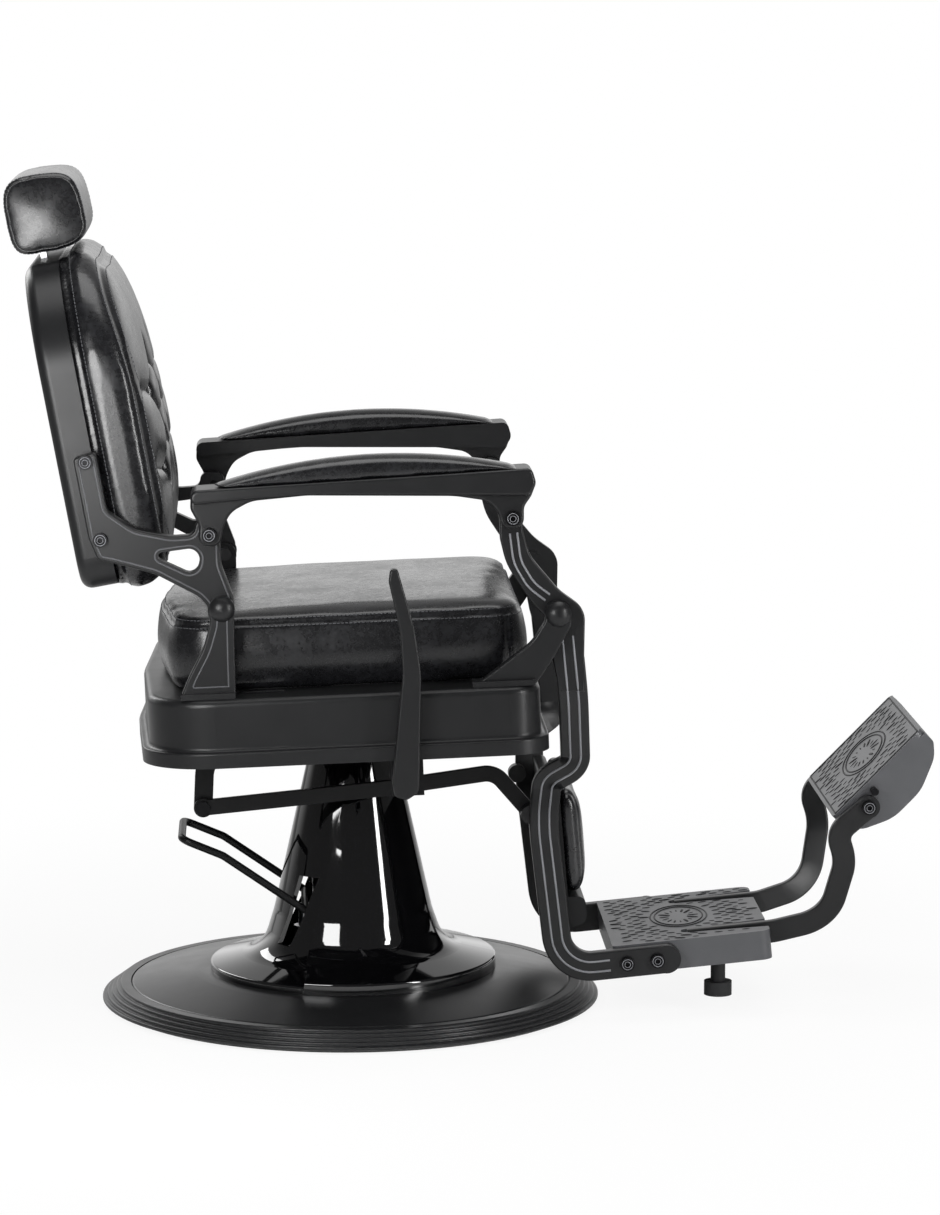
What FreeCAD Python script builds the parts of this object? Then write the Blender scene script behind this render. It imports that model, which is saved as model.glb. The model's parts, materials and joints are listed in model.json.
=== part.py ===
import FreeCAD
import Part

import math
import os
from types import SimpleNamespace

# Barber chair with pump column, reclining back and swinging leg rest.
# Millimetres. The origin is the centre of the base on the floor, +Z is up and +X is the way the sitter faces.

V = FreeCAD.Vector

SIZES = {
    # base disc and its rubber trim
    "base_radius": 325,
    "trim_width": 37,
    "trim_height": 27,
    "trim_foot": 4,
    "trim_undercut": 15,
    "trim_undercut_height": 6,
    "trim_lip": 16,
    "trim_slope": 29,
    "trim_steps": 5,
    "disc_thickness": 10,
    "disc_wall": 12,
    "deck_height": 44,
    "deck_radius": 196,
    # pump
    "pump_radius": 50,
    "pump_bore": 33,
    "pump_floor": 12,
    "pump_flange_radius": 88,
    "pump_flange_height": 12,
    "pump_top": 296,
    "gland_height": 10,
    "pump_bolt_circle": 72,
    "pump_bolt_count": 4,
    "plunger_reach": 60,
    "plunger_radius": 8,
    "plunger_length": 46,
    "plunger_housing_radius": 14,
    "plunger_housing_top": 98,
    "plunger_bore_depth": 48,
    "trunnion_height": 90,
    "trunnion_boss_radius": 15,
    "trunnion_radius": 8,
    # two-part column cover
    "cover_top_height": 344,
    "cover_top_radius": 50,
    "cover_waist_height": 103,
    "cover_waist_radius": 104,
    "cover_wall": 4,
    "cover_step": 7,
    "cover_flange_radius": 184,
    "cover_flange_height": 9,
    "cover_seam_height": 318,
    "cover_seam_lean": 13.5,
    "cover_overlap": 12,
    "cover_slot_width": 20,
    # pump pedal
    "pedal_half": 72,
    "pedal_bar": 10,
    "pedal_end": 224,
    "pedal_end_height": 226,
    "pedal_knee_x": 166,
    "pedal_knee_height": 204,
    "pedal_cross_radius": 4.4,
    # ram
    "ram_radius": 27,
    "ram_bottom": 60,
    "ram_top": 351,
    "piston_height": 20,
    # seat
    "seat_tilt": 2.2,
    "rim_height": 452,
    "shell_half": 304,
    "shell_front": 232,
    "shell_rear": 268,
    "shell_bow": 14,
    "shell_depth": 84,
    "shell_wall": 4,
    "shell_front_round": 40,
    "shell_rear_round": 85,
    "shell_edge_round": 9,
    "shell_flange": 9,
    "shell_cove": 5.5,
    "shell_flange_height": 19,
    "socket_radius": 42,
    "socket_bottom": 310,
    "socket_top": 366,
    "carrier_rear": 70,
    "carrier_front": 110,
    "carrier_half": 100,
    "carrier_thickness": 12,
    "rail_offset": 60,
    "rail_width": 40,
    "rail_wall": 3,
    "rail_front": 190,
    "cushion_half": 240,
    "cushion_front": 222,
    "cushion_rear": 250,
    "cushion_bow": 24,
    "cushion_height": 104,
    "cushion_seam": 86,
    "cushion_draw": 8,
    "cushion_crown_reach": 150,
    "cushion_front_round": 46,
    "cushion_rear_round": 62,
    "seat_board_thickness": 12,
    "seat_board_inset": 14,
    # pivots of the reclining linkage
    "rear_pivot_x": -163,
    "rear_pivot_z": 557,
    "front_pivot_x": 254,
    "front_pivot_z": 548,
    "back_crank_x": -15,
    "back_crank_z": 94,
    "leg_crank_x": -58,
    "leg_crank_z": 122,
    "pivot_radius": 9,
    "pivot_cap_radius": 16,
    "pivot_cap_height": 9,
    "pivot_tail": 3,
    "running_fit": 0.08,
    "loose_fit": 1.4,
    # plates beside the seat, counted outwards from the cushion
    "cradle_gap": 3.5,
    "cradle_thickness": 7,
    "arm_gap": 4.5,
    "arm_thickness": 16.5,
    "side_play": 1,
    "bracket_thickness": 15.5,
    "bracket_foot_width": 30,
    "bracket_foot_height": 7,
    "edge_round": 2.5,
    # recline cradle, link and gas spring
    "cradle_tube_x": -66,
    "cradle_tube_drop": 148,
    "cradle_tube_radius": 10,
    "cradle_width": 22,
    "hanger_x": -27,
    "hanger_drop": 277,
    "hanger_width": 24,
    "hanger_thickness": 8,
    "link_thickness": 8,
    "link_height": 20,
    "link_gap": 1.5,
    "link_pin_radius": 5,
    "spring_offset": 105,
    "spring_lug_x": -36,
    "spring_lug_drop": 145,
    "spring_lug_width": 10,
    "spring_radius": 12,
    "spring_bore": 8.5,
    "spring_sag": 2.2,
    "spring_rod_radius": 4.5,
    "spring_rod_length": 205,
    "spring_length": 190,
    "spring_front": 160,
    # backrest
    "back_origin_x": -129,
    "back_origin_z": 24,
    "back_lean": 10.4,
    "back_height": 404,
    "back_depth": 45,
    "back_wall": 4,
    "back_round": 42,
    "back_top_round": 130,
    "back_edge_round": 14,
    "back_board_thickness": 12,
    "back_cleat_width": 26,
    "back_cleat_bottom": 45,
    "back_cleat_top": 180,
    "back_cushion_inset": 6,
    "back_cushion_depth": 84,
    "back_cushion_hang": 8,
    "back_cushion_rise": 4,
    "back_cushion_round": 60,
    "back_cushion_bulge": 24,
    "back_top_start": 25,
    "back_top_fall": 168,
    "back_side_start": 58,
    "back_side_fall": 110,
    "back_bottom_start": 34,
    "back_bottom_fall": 100,
    "tuft_rows": 4,
    "tuft_bottom": 120,
    "tuft_pitch": 50,
    "tuft_spacing": 62,
    "tuft_radius": 20,
    "tuft_depth": 10,
    "arm_bolt_low": 64,
    "arm_bolt_high": 162,
    "arm_bolt_set": 9,
    # headrest
    "headrest_half": 128,
    "headrest_height": 92,
    "headrest_depth": 79,
    "headrest_set": 5.5,
    "headrest_gap": 10,
    "headrest_swell": 12,
    "headrest_round": 15,
    "headrest_bar_width": 50,
    "headrest_bar_thickness": 8,
    "headrest_bar_depth": 24,
    "headrest_bar_length": 190,
    "headrest_bar_rise": 62,
    "headrest_board_thickness": 12,
    "headrest_board_half": 105,
    "headrest_board_height": 56,
    "socket_wall": 4,
    "socket_length": 110,
    "sliding_fit": 0.3,
    # armrests
    "neck_thickness": 27.5,
    "beam_inner": 252,
    "beam_width": 60,
    "armrest_round": 4,
    "armrest_pad_inset": 2,
    "armrest_pad_rise": 27,
    "armrest_pad_round": 14,
    "armrest_bolt_radius": 5,
    # leg rest
    "leg_width": 37,
    "foot_half": 141,
    "foot_origin_x": 80,
    "foot_origin_drop": 453,
    "foot_tilt": 5.5,
    "foot_length": 205,
    "foot_depth": 38,
    "foot_wall": 5,
    "foot_round": 14,
    "foot_bolt_rear": 16,
    "foot_bolt_front": 55,
    "foot_bolt_drop": 20.5,
    "foot_slot_length": 112,
    "foot_slot_front": 46,
    "foot_slot_tip": 17,
    "foot_arm_offset": 92,
    "foot_arm_height": 29,
    "foot_arm_thickness": 13,
    "foot_arm_sink": 12.5,
    "rubber_offset": 100,
    "rubber_along": 138,
    "rubber_radius": 18,
    "rubber_height": 18,
    "rubber_stem_radius": 9.5,
    "rubber_drop": 73,
    "calf_top": 252,
    "calf_bottom": 430,
    "calf_top_set": -7,
    "calf_bottom_set": 8,
    "calf_board_thickness": 18,
    "calf_lip_thickness": 40,
    "calf_lip_gap": 2,
    "calf_pad_thickness": 28,
    "calf_pad_height": 136,
    "calf_crown_reach": 40,
    "calf_rod_radius": 4.5,
    "calf_rod_set": 6.2,
    "calf_rod_bite": 10,
    # flip plate
    "flip_reach": 407.5,
    "flip_drop": 271.5,
    "flip_angle": 45.5,
    "flip_half": 140,
    "flip_front": 118,
    "flip_rear": 42,
    "flip_top": 21,
    "flip_plate_thickness": 7,
    "flip_wall": 4,
    "flip_belly": 36,
    "flip_pin_radius": 6,
    "flip_stop_radius": 5,
    "flip_stop_along": 19.5,
    "flip_stop_height": 8.5,
    # recline lever
    "lever_inner": 319,
    "lever_thickness": 12,
    "lever_shaft_x": 62,
    "lever_shaft_height": 339,
    "lever_length": 272,
    "lever_shaft_radius": 8,
    "lever_shaft_inner": 164,
    "lever_bracket_width": 40,
    "lever_bracket_thickness": 7,
    "lever_bracket_offset": 282,
    # screws
    "screw_head_radius": 9,
    "screw_head_height": 7,
    "screw_radius": 5,
    "screw_socket_radius": 4.5,
    "screw_bite": 12,
}

doc = FreeCAD.newDocument("BarberChair")
sheet = doc.addObject("Spreadsheet::Sheet", "Sizes")
for row, (alias, value) in enumerate(SIZES.items(), start=1):
    sheet.set(f"A{row}", alias)
    sheet.set(f"B{row}", str(value))
    sheet.setAlias(f"B{row}", alias)
doc.recompute()
d = SimpleNamespace(**{alias: float(sheet.get(alias)) for alias in SIZES})

nodes = {}
SIDES = {"right": -1, "left": 1}


# Outlines, routes and the features made from them

def corner(before, here, after, radius):
    """Start, middle and end of the arc that rounds one corner, or the bare corner three times."""
    back = before - here
    ahead = after - here
    half = back.getAngle(ahead) / 2
    if radius <= 0 or half > math.pi / 2 - 1e-4:
        return here, here, here
    setback = min(radius / math.tan(half), 0.49 * min(back.Length, ahead.Length))
    radius = setback * math.tan(half)
    back.normalize()
    ahead.normalize()
    inward = back + ahead
    inward.normalize()
    middle = here + inward * (radius / math.sin(half) - radius)
    return here + back * setback, middle, here + ahead * setback


def joined(arcs, closed):
    """Lines and arcs through a row of rounded corners."""
    pieces = []
    count = len(arcs)
    for index, (start, middle, end) in enumerate(arcs):
        if (end - start).Length > 1e-6:
            pieces.append(Part.Arc(start, middle, end))
        if closed or index + 1 < count:
            following = arcs[(index + 1) % count][0]
            if (following - end).Length > 1e-6:
                pieces.append(Part.LineSegment(end, following))
    return pieces


def rounded(points):
    """Closed outline from (x, y, corner radius) points."""
    flat = [V(x, y, 0) for x, y, radius in points]
    count = len(flat)
    arcs = []
    for index, (x, y, radius) in enumerate(points):
        arcs.append(corner(flat[index - 1], flat[index], flat[(index + 1) % count], radius))
    return joined(arcs, True)


def route(points):
    """Open path in space from (x, y, z, bend radius) points."""
    places = [V(x, y, z) for x, y, z, radius in points]
    arcs = [(places[0],) * 3]
    for index in range(1, len(points) - 1):
        arcs.append(corner(places[index - 1], places[index], places[index + 1], points[index][3]))
    arcs.append((places[-1],) * 3)
    return Part.Wire([piece.toShape() for piece in joined(arcs, False)])


def flat_wire(points):
    return Part.Wire([piece.toShape() for piece in rounded(points)])


def upright_wire(points, y):
    """A closed outline standing in the side plane at a given y."""
    wire = flat_wire(points)
    wire.rotate(V(0, 0, 0), V(1, 0, 0), 90)
    wire.translate(V(0, y, 0))
    return wire


def box_points(left, right, bottom, top, radius):
    return [(left, bottom, radius), (right, bottom, radius), (right, top, radius), (left, top, radius)]


def around(origin, *offsets):
    """Outline points given as offsets from one pivot."""
    return [(origin[0] + x, origin[1] + z, radius) for x, z, radius in offsets]


def circle(x, y, radius):
    return Part.Circle(V(x, y, 0), V(0, 0, 1), radius)


def body_of(label):
    return doc.addObject("PartDesign::Body", label)


def sketch_on(body, role, pieces, offset=0):
    sketch = body.newObject("Sketcher::SketchObject", body.Name + "_sketch")
    plane = next(feature for feature in body.Origin.OriginFeatures if feature.Role == role)
    sketch.AttachmentSupport = (plane, [""])
    sketch.MapMode = "FlatFace"
    sketch.AttachmentOffset = FreeCAD.Placement(V(0, 0, offset), FreeCAD.Rotation())
    sketch.addGeometry(pieces, False)
    return sketch


def pad(body, sketch, length, reverse=False):
    feature = body.newObject("PartDesign::Pad", body.Name + "_pad")
    feature.Profile = sketch
    feature.setExpression("Length", length)
    feature.Reversed = reverse
    doc.recompute()
    return feature


def pocket(body, sketch, length, reverse=False):
    before = body.Shape.Volume
    feature = body.newObject("PartDesign::Pocket", body.Name + "_pocket")
    feature.Profile = sketch
    feature.setExpression("Length", length)
    feature.Reversed = reverse
    doc.recompute()
    if not body.Shape.Volume < before:
        raise ValueError(body.Label + ": the pocket cuts nothing")
    return feature


def fillet(body, base, radius, wanted):
    names = [f"Edge{index}" for index, edge in enumerate(base.Shape.Edges, start=1) if wanted(edge)]
    feature = body.newObject("PartDesign::Fillet", body.Name + "_fillet")
    feature.Base = (base, names)
    feature.setExpression("Radius", radius)
    doc.recompute()
    if "Invalid" in feature.State:
        raise ValueError(body.Label + ": the edges take no such round")
    return feature


def level(edge, axis, value):
    """True for an open edge that lies at one level."""
    spots = [getattr(vertex.Point, axis) for vertex in edge.Vertexes]
    return len(spots) == 2 and all(abs(spot - value) < 1e-4 for spot in spots)


def plate(label, points, inner, thickness, side, holes=(), edge=None):
    """Flat piece with a side outline; its inner face lies `inner` from the middle of the chair."""
    body = body_of(label)
    pieces = rounded(points) + [circle(*hole) for hole in holes]
    base = pad(body, sketch_on(body, "XZ_Plane", pieces), "Sizes." + thickness)
    depth = getattr(d, thickness)
    if edge:
        outer = -depth if side < 0 else 0
        fillet(body, base, "Sizes." + edge, lambda found: level(found, "y", outer))
    body.Placement.Base = V(0, -inner if side < 0 else inner + depth, 0)
    doc.recompute()
    return body


def turned(label, points):
    """Piece turned about the column axis from a (radius, height) outline."""
    body = body_of(label)
    sketch = sketch_on(body, "XZ_Plane", rounded(points))
    feature = body.newObject("PartDesign::Revolution", label + "_turn")
    feature.Profile = sketch
    feature.ReferenceAxis = (sketch, ["V_Axis"])
    feature.Angle = 360
    doc.recompute()
    return body


def solid(label, shape):
    feature = doc.addObject("Part::Feature", label)
    feature.Shape = shape
    return feature


def fuse(label, pieces):
    feature = doc.addObject("Part::MultiFuse", label)
    feature.Shapes = pieces
    feature.Refine = True
    doc.recompute()
    return feature


def cut(label, base, tools):
    tool = tools[0] if len(tools) == 1 else fuse(label + "_tools", tools)
    feature = doc.addObject("Part::Cut", label)
    feature.Base = base
    feature.Tool = tool
    doc.recompute()
    if not feature.Shape.Volume < base.Shape.Volume:
        raise ValueError(label + ": the cut removes nothing")
    return feature


def keep(name, feature):
    feature.Label = name
    nodes[name] = feature
    return feature


def rod(radius, start, end):
    """Round bar between two places."""
    reach = end - start
    return Part.makeCylinder(radius, reach.Length, start, reach)


def cross_rod(x, z, radius, y_from, y_to):
    return rod(radius, V(x, y_from, z), V(x, y_to, z))


def block(x_from, x_to, y_from, y_to, z_from, z_to):
    return Part.makeBox(x_to - x_from, y_to - y_from, z_to - z_from, V(x_from, y_from, z_from))


def bent_bar(points, width, thickness, round_off):
    """Bar of rounded rectangular section along a route; its thickness stays across the chair."""
    spine = route(points)
    start = V(*points[0][:3])
    ahead = V(*points[1][:3]) - start
    ahead.normalize()
    across = V(0, 1, 0)
    upward = across.cross(ahead)
    section = flat_wire(box_points(-width / 2, width / 2, -thickness / 2, thickness / 2, round_off))
    section.Placement = FreeCAD.Placement(start, FreeCAD.Rotation(upward, across, ahead, "XYZ"))
    pipe = Part.BRepOffsetAPI.MakePipeShell(spine)
    pipe.setBiNormalMode(across)
    pipe.add(section, False, False)
    pipe.build()
    pipe.makeSolid()
    return pipe.shape()


def loft(wires):
    return Part.makeLoft(wires, True, True)


def socket_screw(length):
    """Socket-head screw along +Z with the underside of its head at the origin."""
    head = Part.makeCylinder(d.screw_head_radius, d.screw_head_height)
    corners = [V(d.screw_socket_radius, 0, 0)]
    for index in range(1, 7):
        turn = math.radians(60 * index)
        corners.append(V(d.screw_socket_radius * math.cos(turn), d.screw_socket_radius * math.sin(turn), 0))
    key = Part.Face(Part.makePolygon(corners)).extrude(V(0, 0, d.screw_head_height))
    key.translate(V(0, 0, d.screw_head_height * 0.4))
    shank = Part.makeCylinder(d.screw_radius, length, V(0, 0, -length))
    return head.cut(key).fuse(shank).removeSplitter()


def facing(shape, place, direction):
    """A copy of a shape made along +Z, turned to a direction and moved to its place."""
    copy = shape.copy()
    copy.Placement = FreeCAD.Placement(place, FreeCAD.Rotation(V(0, 0, 1), direction))
    return copy


# Frames of the leaning assemblies and the places that several pieces share

seat_frame = FreeCAD.Placement(V(0, 0, d.rim_height), FreeCAD.Rotation(V(0, 1, 0), -d.seat_tilt))
facing_forward = FreeCAD.Rotation(V(0, 1, 0), V(0, 0, 1), V(1, 0, 0), "XYZ")
rear_pivot = (d.rear_pivot_x, d.rear_pivot_z)
front_pivot = (d.front_pivot_x, d.front_pivot_z)
arm_rear = (d.rear_pivot_x + d.back_crank_x, d.rear_pivot_z + d.back_crank_z)
arm_front = (d.front_pivot_x + d.leg_crank_x, d.front_pivot_z + d.leg_crank_z)
hanger_pin = (d.rear_pivot_x + d.hanger_x, d.rear_pivot_z - d.hanger_drop)
leg_pin = (d.front_pivot_x + d.hanger_x, d.front_pivot_z - d.hanger_drop)
cradle_tube = (d.rear_pivot_x + d.cradle_tube_x, d.rear_pivot_z - d.cradle_tube_drop)
spring_lug = (d.rear_pivot_x + d.spring_lug_x, d.rear_pivot_z - d.spring_lug_drop)
back_frame = FreeCAD.Placement(
    V(d.rear_pivot_x + d.back_origin_x, 0, d.rear_pivot_z + d.back_origin_z),
    FreeCAD.Rotation(V(0, 1, 0), -d.back_lean),
)
foot_frame = FreeCAD.Placement(
    V(d.front_pivot_x + d.foot_origin_x, 0, d.front_pivot_z - d.foot_origin_drop),
    FreeCAD.Rotation(V(0, 1, 0), -d.foot_tilt),
)
flip_pivot = (d.front_pivot_x + d.flip_reach, d.front_pivot_z - d.flip_drop)
flip_frame = FreeCAD.Placement(
    V(flip_pivot[0], 0, flip_pivot[1]), FreeCAD.Rotation(V(0, 1, 0), -d.flip_angle)
)
cradle_inner = d.cushion_half + d.cradle_gap
arm_inner = cradle_inner + d.cradle_thickness + d.arm_gap
arm_outer = arm_inner + d.arm_thickness
bracket_inner = arm_outer + d.side_play
bracket_outer = bracket_inner + d.bracket_thickness
neck_outer = bracket_inner + d.neck_thickness
leg_upper_middle = arm_inner + d.arm_thickness / 2
leg_lower_middle = d.foot_half + d.arm_thickness / 2
link_inner = d.foot_half - d.link_gap - d.link_thickness
hanger_inner = link_inner - d.side_play - d.hanger_thickness
flip_arm_middle = d.flip_half + d.side_play + d.foot_arm_thickness / 2


def placed_on(frame, along, up, radius=0):
    """Side-view point of a leaning frame, as an outline point."""
    spot = frame.multVec(V(along, 0, up))
    return (spot.x, spot.z, radius)


def rim(x):
    return d.rim_height + x * math.tan(math.radians(d.seat_tilt))


# Base disc and trim

def make_base():
    disc_radius = d.base_radius - d.trim_width
    inside = disc_radius - d.disc_wall
    keep("base_plate", turned("base_plate", [
        (0, d.deck_height - d.disc_thickness, 0),
        (d.deck_radius, d.deck_height - d.disc_thickness, 60),
        (inside, d.trim_height - d.disc_thickness, 4),
        (inside, d.trim_foot, 0),
        (disc_radius, d.trim_foot, 0),
        (disc_radius, d.trim_height, 5),
        (d.deck_radius, d.deck_height, 120),
        (0, d.deck_height, 0),
    ]))
    stairs = []
    steps = int(d.trim_steps)
    rise = (d.trim_height - d.trim_undercut_height) / steps
    for index in range(steps):
        radius = d.base_radius - d.trim_slope * index / steps
        stairs.append((radius, d.trim_undercut_height + rise * index, 1))
        stairs.append((radius, d.trim_undercut_height + rise * (index + 1), 2))
    keep("base_trim_ring", turned("base_trim_ring", stairs + [
        (disc_radius, d.trim_height, 0),
        (disc_radius, d.trim_foot, 0),
        (disc_radius - d.trim_lip, d.trim_foot, 0),
        (disc_radius - d.trim_lip, 0, 0),
        (d.base_radius - d.trim_undercut, 0, 0),
    ]))


# Pump, ram and pedal

def make_pump():
    bore_floor = d.deck_height + d.pump_floor
    flange_top = d.deck_height + d.pump_flange_height
    tube = turned("pump_tube", [
        (0, d.deck_height, 0),
        (d.pump_flange_radius, d.deck_height, 0),
        (d.pump_flange_radius, flange_top, 3),
        (d.pump_radius, flange_top, 5),
        (d.pump_radius, d.pump_top, 0),
        (d.pump_bore, d.pump_top, 0),
        (d.pump_bore, bore_floor, 0),
        (0, bore_floor, 0),
    ])
    pedal_inner = d.pedal_half - d.pedal_bar
    middle = (d.pump_radius + d.pump_bore) / 2
    extras = []
    for side in SIDES.values():
        boss_end = pedal_inner - d.side_play / 2
        extras.append(cross_rod(0, d.trunnion_height, d.trunnion_boss_radius, side * middle, side * boss_end))
        stub_end = d.pedal_half + d.side_play
        extras.append(cross_rod(0, d.trunnion_height, d.trunnion_radius, side * middle, side * stub_end))
    housing_floor = V(-d.plunger_reach, 0, d.deck_height)
    housing = Part.makeCylinder(
        d.plunger_housing_radius, d.plunger_housing_top - d.deck_height, housing_floor
    )
    web = block(-d.plunger_reach, -middle, -8, 8, d.deck_height, d.plunger_housing_top)
    bore_place = V(-d.plunger_reach, 0, d.plunger_housing_top - d.plunger_bore_depth)
    bore = Part.makeCylinder(d.plunger_radius + d.running_fit, d.plunger_bore_depth, bore_place)
    extras.append(housing.fuse(web).cut(bore))
    pump = fuse("pump_body", [tube, solid("pump_bosses", Part.makeCompound(extras))])

    screws = []
    length = d.pump_flange_height + d.disc_thickness
    count = int(d.pump_bolt_count)
    for index in range(count):
        turn = math.radians(360 * (index + 0.5) / count)
        place = V(d.pump_bolt_circle * math.cos(turn), d.pump_bolt_circle * math.sin(turn), flange_top)
        screws.append(facing(socket_screw(length), place, V(0, 0, 1)))
    bolts = keep("pump_bolts", solid("pump_bolts", Part.makeCompound(screws)))
    keep("pump_cylinder", cut("pump_cylinder", pump, [bolts]))
    keep("base_plate", cut("base_plate_drilled", nodes["base_plate"], [bolts]))
    keep("pump_gland", turned("pump_gland", [
        (d.ram_radius + d.running_fit, d.pump_top, 0),
        (d.pump_radius, d.pump_top, 0),
        (d.pump_radius, d.pump_top + d.gland_height, 3),
        (d.ram_radius + d.running_fit, d.pump_top + d.gland_height, 0),
    ]))
    keep("ram", turned("ram", [
        (0, d.ram_bottom, 0),
        (d.ram_radius, d.ram_bottom, 1),
        (d.ram_radius, d.ram_top, 2),
        (0, d.ram_top, 0),
    ]))
    keep("ram_piston", turned("ram_piston", [
        (d.ram_radius, d.ram_bottom + 1, 0),
        (d.pump_bore - d.running_fit, d.ram_bottom + 1, 2),
        (d.pump_bore - d.running_fit, d.ram_bottom + d.piston_height, 2),
        (d.ram_radius, d.ram_bottom + d.piston_height, 0),
    ]))


def pedal_slope():
    """Rise of the pedal's arms for each millimetre towards the rear."""
    return (d.pedal_knee_height - d.trunnion_height) / d.pedal_knee_x


def make_pedal():
    middle = d.pedal_half - d.pedal_bar / 2
    cross_height = d.trunnion_height + d.plunger_reach * pedal_slope()
    half_route = [
        (0, d.trunnion_height, 0),
        (-d.pedal_knee_x, d.pedal_knee_height, 30),
        (-d.pedal_end + d.pedal_bar / 2, d.pedal_end_height, 14),
    ]
    way = [(x, -middle, z, bend) for x, z, bend in half_route]
    way += [(x, middle, z, bend) for x, z, bend in reversed(half_route)]
    spine = route(way)
    ahead = V(*way[1][:3]) - V(*way[0][:3])
    ring = Part.Wire(Part.makeCircle(d.pedal_bar / 2, V(*way[0][:3]), ahead))
    pieces = [spine.makePipeShell([ring], True, False)]
    for side in SIDES.values():
        inner = side * (d.pedal_half - d.pedal_bar)
        pieces.append(cross_rod(0, d.trunnion_height, d.trunnion_boss_radius, inner, side * d.pedal_half))
    pieces.append(cross_rod(-d.plunger_reach, cross_height, d.pedal_cross_radius, -middle, middle))
    blank = pieces[0].multiFuse(pieces[1:]).removeSplitter()
    bore = cross_rod(0, d.trunnion_height, d.trunnion_radius + d.running_fit, -d.base_radius, d.base_radius)
    keep("pump_pedal", solid("pump_pedal", blank.cut(bore)))
    top = cross_height - d.pedal_cross_radius - d.sliding_fit
    foot = V(-d.plunger_reach, 0, top - d.plunger_length)
    plunger = Part.makeCylinder(d.plunger_radius, d.plunger_length, foot)
    keep("pump_plunger", solid("pump_plunger", plunger))


def cover_curve(step):
    """Flared column line from the deck to the top, moved outwards by a step, as (radius, height) points."""
    throat = d.cover_waist_radius + step
    flange_top = d.deck_height + d.cover_flange_height + step
    return [
        (d.cover_flange_radius + step, d.deck_height, 0),
        (d.cover_flange_radius + step, flange_top, 4),
        (throat + 12, flange_top + 16, 46),
        (throat - 4, d.cover_waist_height + 18, 60),
        (d.cover_top_radius + step, d.cover_top_height, 0),
    ]


def cover_profile(outer, inner):
    return cover_curve(outer) + cover_curve(inner)[::-1]


def make_covers():
    reach = d.cover_flange_radius * 2
    lean = FreeCAD.Rotation(V(0, 1, 0), d.cover_seam_lean)
    fit = d.sliding_fit / 2
    rear_blank = turned("cover_rear_turn", cover_profile(0, -d.cover_wall))
    front_blank = turned("cover_front_turn", cover_profile(d.cover_step, fit))
    ahead = block(0, reach * 2, -reach, reach, -reach * 2, reach)
    ahead.Placement = FreeCAD.Placement(V(0, 0, d.cover_seam_height), lean)
    behind = block(-reach * 2, d.cover_overlap, -reach, reach, -reach * 2, reach)
    behind.Placement = FreeCAD.Placement(V(0, 0, d.cover_seam_height), lean)
    front = doc.addObject("Part::Common", "column_cover_front")
    front.Base = front_blank
    front.Tool = solid("cover_front_side", ahead)
    rear = doc.addObject("Part::Common", "cover_rear_half")
    rear.Base = rear_blank
    rear.Tool = solid("cover_rear_side", behind)
    doc.recompute()
    keep("column_cover_front", front)
    middle = d.pedal_half - d.pedal_bar / 2
    slots = []
    for side in SIDES.values():
        y = side * middle
        slot = block(-d.cover_flange_radius * 0.7, -d.pump_radius * 0.3, y - d.cover_slot_width / 2,
                     y + d.cover_slot_width / 2, d.trunnion_height - 5, d.trunnion_height + 85)
        slots.append(slot)
    openings = solid("pedal_slots", Part.makeCompound(slots))
    keep("column_cover_rear", cut("column_cover_rear", rear, [openings]))


# Seat carrier, shell, board and cushion

def seat_plan(inset):
    """Plan of the seat shell: rounder at the rear corners, with a bowed rear edge."""
    half = d.shell_half - inset
    front = d.shell_front - inset
    rear = -d.shell_rear + inset
    return [
        (rear, 0, half * 2),
        (rear + d.shell_bow, -half, d.shell_rear_round - inset),
        (front, -half, d.shell_front_round - inset),
        (front, half, d.shell_front_round - inset),
        (rear + d.shell_bow, half, d.shell_rear_round - inset),
    ]


def make_seat_carrier():
    outer = Part.makeCylinder(d.socket_radius, d.socket_top - d.socket_bottom, V(0, 0, d.socket_bottom))
    bore_top = d.ram_top + d.running_fit
    bore = Part.makeCylinder(
        d.ram_radius + d.running_fit, bore_top - d.socket_bottom, V(0, 0, d.socket_bottom)
    )
    under = -d.shell_depth - d.carrier_thickness
    deck = block(-d.carrier_rear, d.carrier_front, -d.carrier_half, d.carrier_half, under, -d.shell_depth)
    deck.Placement = seat_frame
    rails = []
    for side in SIDES.values():
        y = side * d.rail_offset
        half = d.rail_width / 2
        tube = block(-d.carrier_rear, d.rail_front, y - half, y + half, -d.shell_depth, -d.shell_wall)
        wall = d.rail_wall
        hollow = block(-d.carrier_rear, d.rail_front, y - half + wall, y + half - wall,
                       -d.shell_depth + wall, -d.shell_wall - wall)
        rail = tube.cut(hollow)
        rail.Placement = seat_frame
        rails.append(rail)
    carrier = outer.fuse(deck).cut(bore).multiFuse(rails).removeSplitter()
    keep("seat_carrier", solid("seat_carrier", carrier))


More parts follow.
